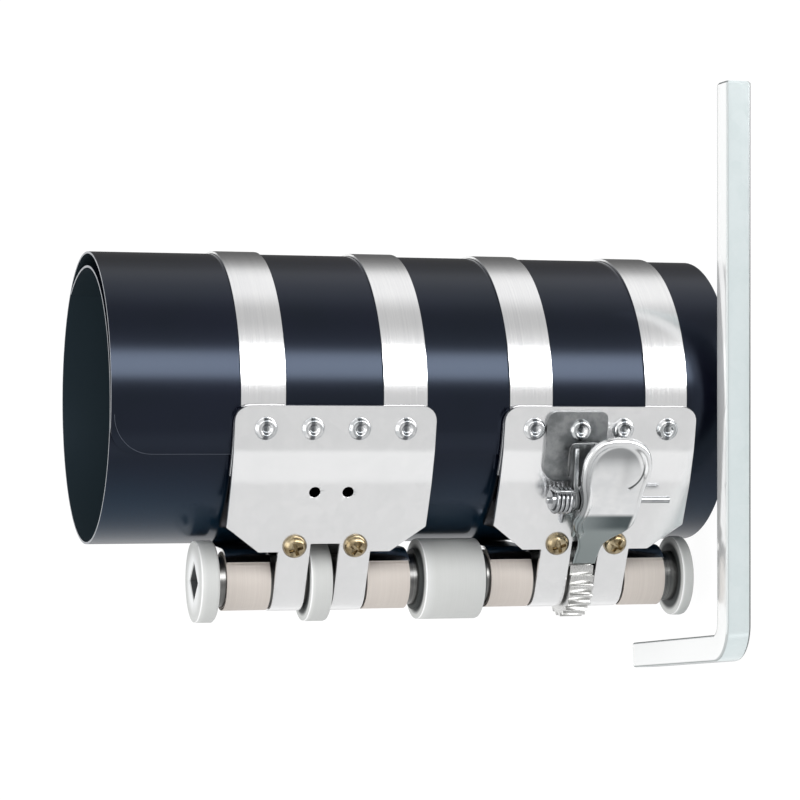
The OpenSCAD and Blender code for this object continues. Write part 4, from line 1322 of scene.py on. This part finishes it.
def placeCamera():
    eye = Vector(shot["eye"]) * mm
    look = (Vector(shot["aim"]) * mm - eye).normalized()
    right = look.cross(Vector((0, 0, 1))).normalized()
    up = right.cross(look)
    turn = math.radians(shot["roll"])
    level = math.cos(turn) * right - math.sin(turn) * up
    rise = math.sin(turn) * right + math.cos(turn) * up
    axes = Matrix((-rise, level, -look)).transposed()
    lens = bpy.data.cameras.new("camera")
    lens.lens = shot["lens"]
    lens.sensor_width = shot["sensor"]
    lens.clip_start = shot["near"]
    camera = bpy.data.objects.new("camera", lens)
    camera.matrix_world = Matrix.Translation(eye) @ axes.to_4x4()
    scene.collection.objects.link(camera)
    scene.camera = camera


# Soft boxes: (name, direction from the tool, distance, width, height, watts)
lamps = [
    ("frontBox", (0.45, -0.85, 0.30), 1.0, 0.5, 0.7, 1.0),
    ("topBox", (-0.1, -0.35, 0.93), 1.1, 0.7, 0.7, 3.0),
]
# What polished walls mirror, by the angle round the tool from the front towards +X
surround = [(-180, 0.3), (-150, 0.9), (-130, 1.0), (-110, 0.85), (-60, 0.80), (-42, 0.74), (-39, 1.02),
            (-31, 1.02), (-28, 0.70), (-10, 0.70), (4, 0.68), (14, 0.85), (18, 8.2), (34, 8.2), (40, 1.0),
            (60, 0.6), (74, 0.6), (90, 1.0), (110, 1.0), (118, 0.85), (128, 0.42), (140, 0.22), (155, 0.14),
            (180, 0.14)]
studio = dict(over=1.02, overFrom=(0.0, 0.16), gap=0.7, gapFrom=(-0.08, -0.02), gapTo=(0.17, 0.10), peak=8.5,
              middle=75, floorHalf=1.6, floorTone=0.9, floorRough=0.9, floorGlow=0.90, glow=1.06)


# Where the camera sees a surface straight on or through glass
def seenStraight(tree):
    path = tree.nodes.new("ShaderNodeLightPath").outputs
    return Wire(path["Is Camera Ray"]).most(Wire(path["Is Transmission Ray"]))


def lightStudio():
    centre = Vector((0, 0, studio["middle"])) * mm
    for name, direction, far, wide, tall, watts in lamps:
        lamp = bpy.data.lights.new(name, "AREA")
        lamp.shape = "RECTANGLE"
        lamp.size, lamp.size_y = wide, tall
        lamp.energy = watts
        box = bpy.data.objects.new(name, lamp)
        way = Vector(direction).normalized()
        box.location = centre + far * way
        box.rotation_euler = (-way).to_track_quat("-Z", "Y").to_euler()
        scene.collection.objects.link(box)
    world = bpy.data.worlds.new("studio")
    scene.world = world
    world.use_nodes = True
    tree = world.node_tree
    back = tree.nodes["Background"]
    back.inputs["Color"].default_value = (1, 1, 1, 1)
    way = Wire(tree.nodes.new("ShaderNodeTexCoord").outputs["Generated"])
    x, y, z = way.parts()
    turn = x.maths("ARCTAN2", x, -1 * y) / (2 * math.pi) + 0.5
    stops = [(a / 360 + 0.5, tone / studio["peak"]) for a, tone in surround]
    ramp = turn.add("ShaderNodeValToRGB", {"stops": stops}, {0: turn})
    walls = studio["peak"] * ramp.parts()[0]
    above = z.step(*studio["overFrom"])
    gap = z.step(*studio["gapFrom"]) * z.step(*studio["gapTo"])
    mirror = (walls * (1 - above) + studio["over"] * above) * (1 - studio["gap"] * gap)
    seen = seenStraight(tree)
    light = seen + (1 - seen) * mirror
    light.into(back, "Strength")


def layFloor():
    size = studio["floorHalf"]
    corners = [(-size, -size, 0), (size, -size, 0), (size, size, 0), (-size, size, 0)]
    mesh = bpy.data.meshes.new("floor")
    mesh.from_pydata(corners, [], [(0, 1, 2, 3)])
    floor = bpy.data.objects.new("floor", mesh)
    scene.collection.objects.link(floor)
    floor.visible_glossy = False  # polished walls mirror the studio round the tool
    finish, shader, where = startFinish("paleFloor", Base_Color=(studio["floorTone"],) * 3,
                                        Roughness=studio["floorRough"])
    tree = finish.node_tree
    seen = seenStraight(tree)
    glow = seen.add("ShaderNodeEmission", (), {"Color": (1, 1, 1, 1), "Strength": studio["glow"]})
    both = seen.add("ShaderNodeMixShader", (),
                    {0: seen * studio["floorGlow"], 1: Wire(shader.outputs[0]), 2: glow})
    both.into(tree.nodes["Material Output"], "Surface")
    mesh.materials.append(finish)


placeCamera()
lightStudio()
layFloor()
scene.view_settings.view_transform = "Standard"
print("camera, lamps and floor set")
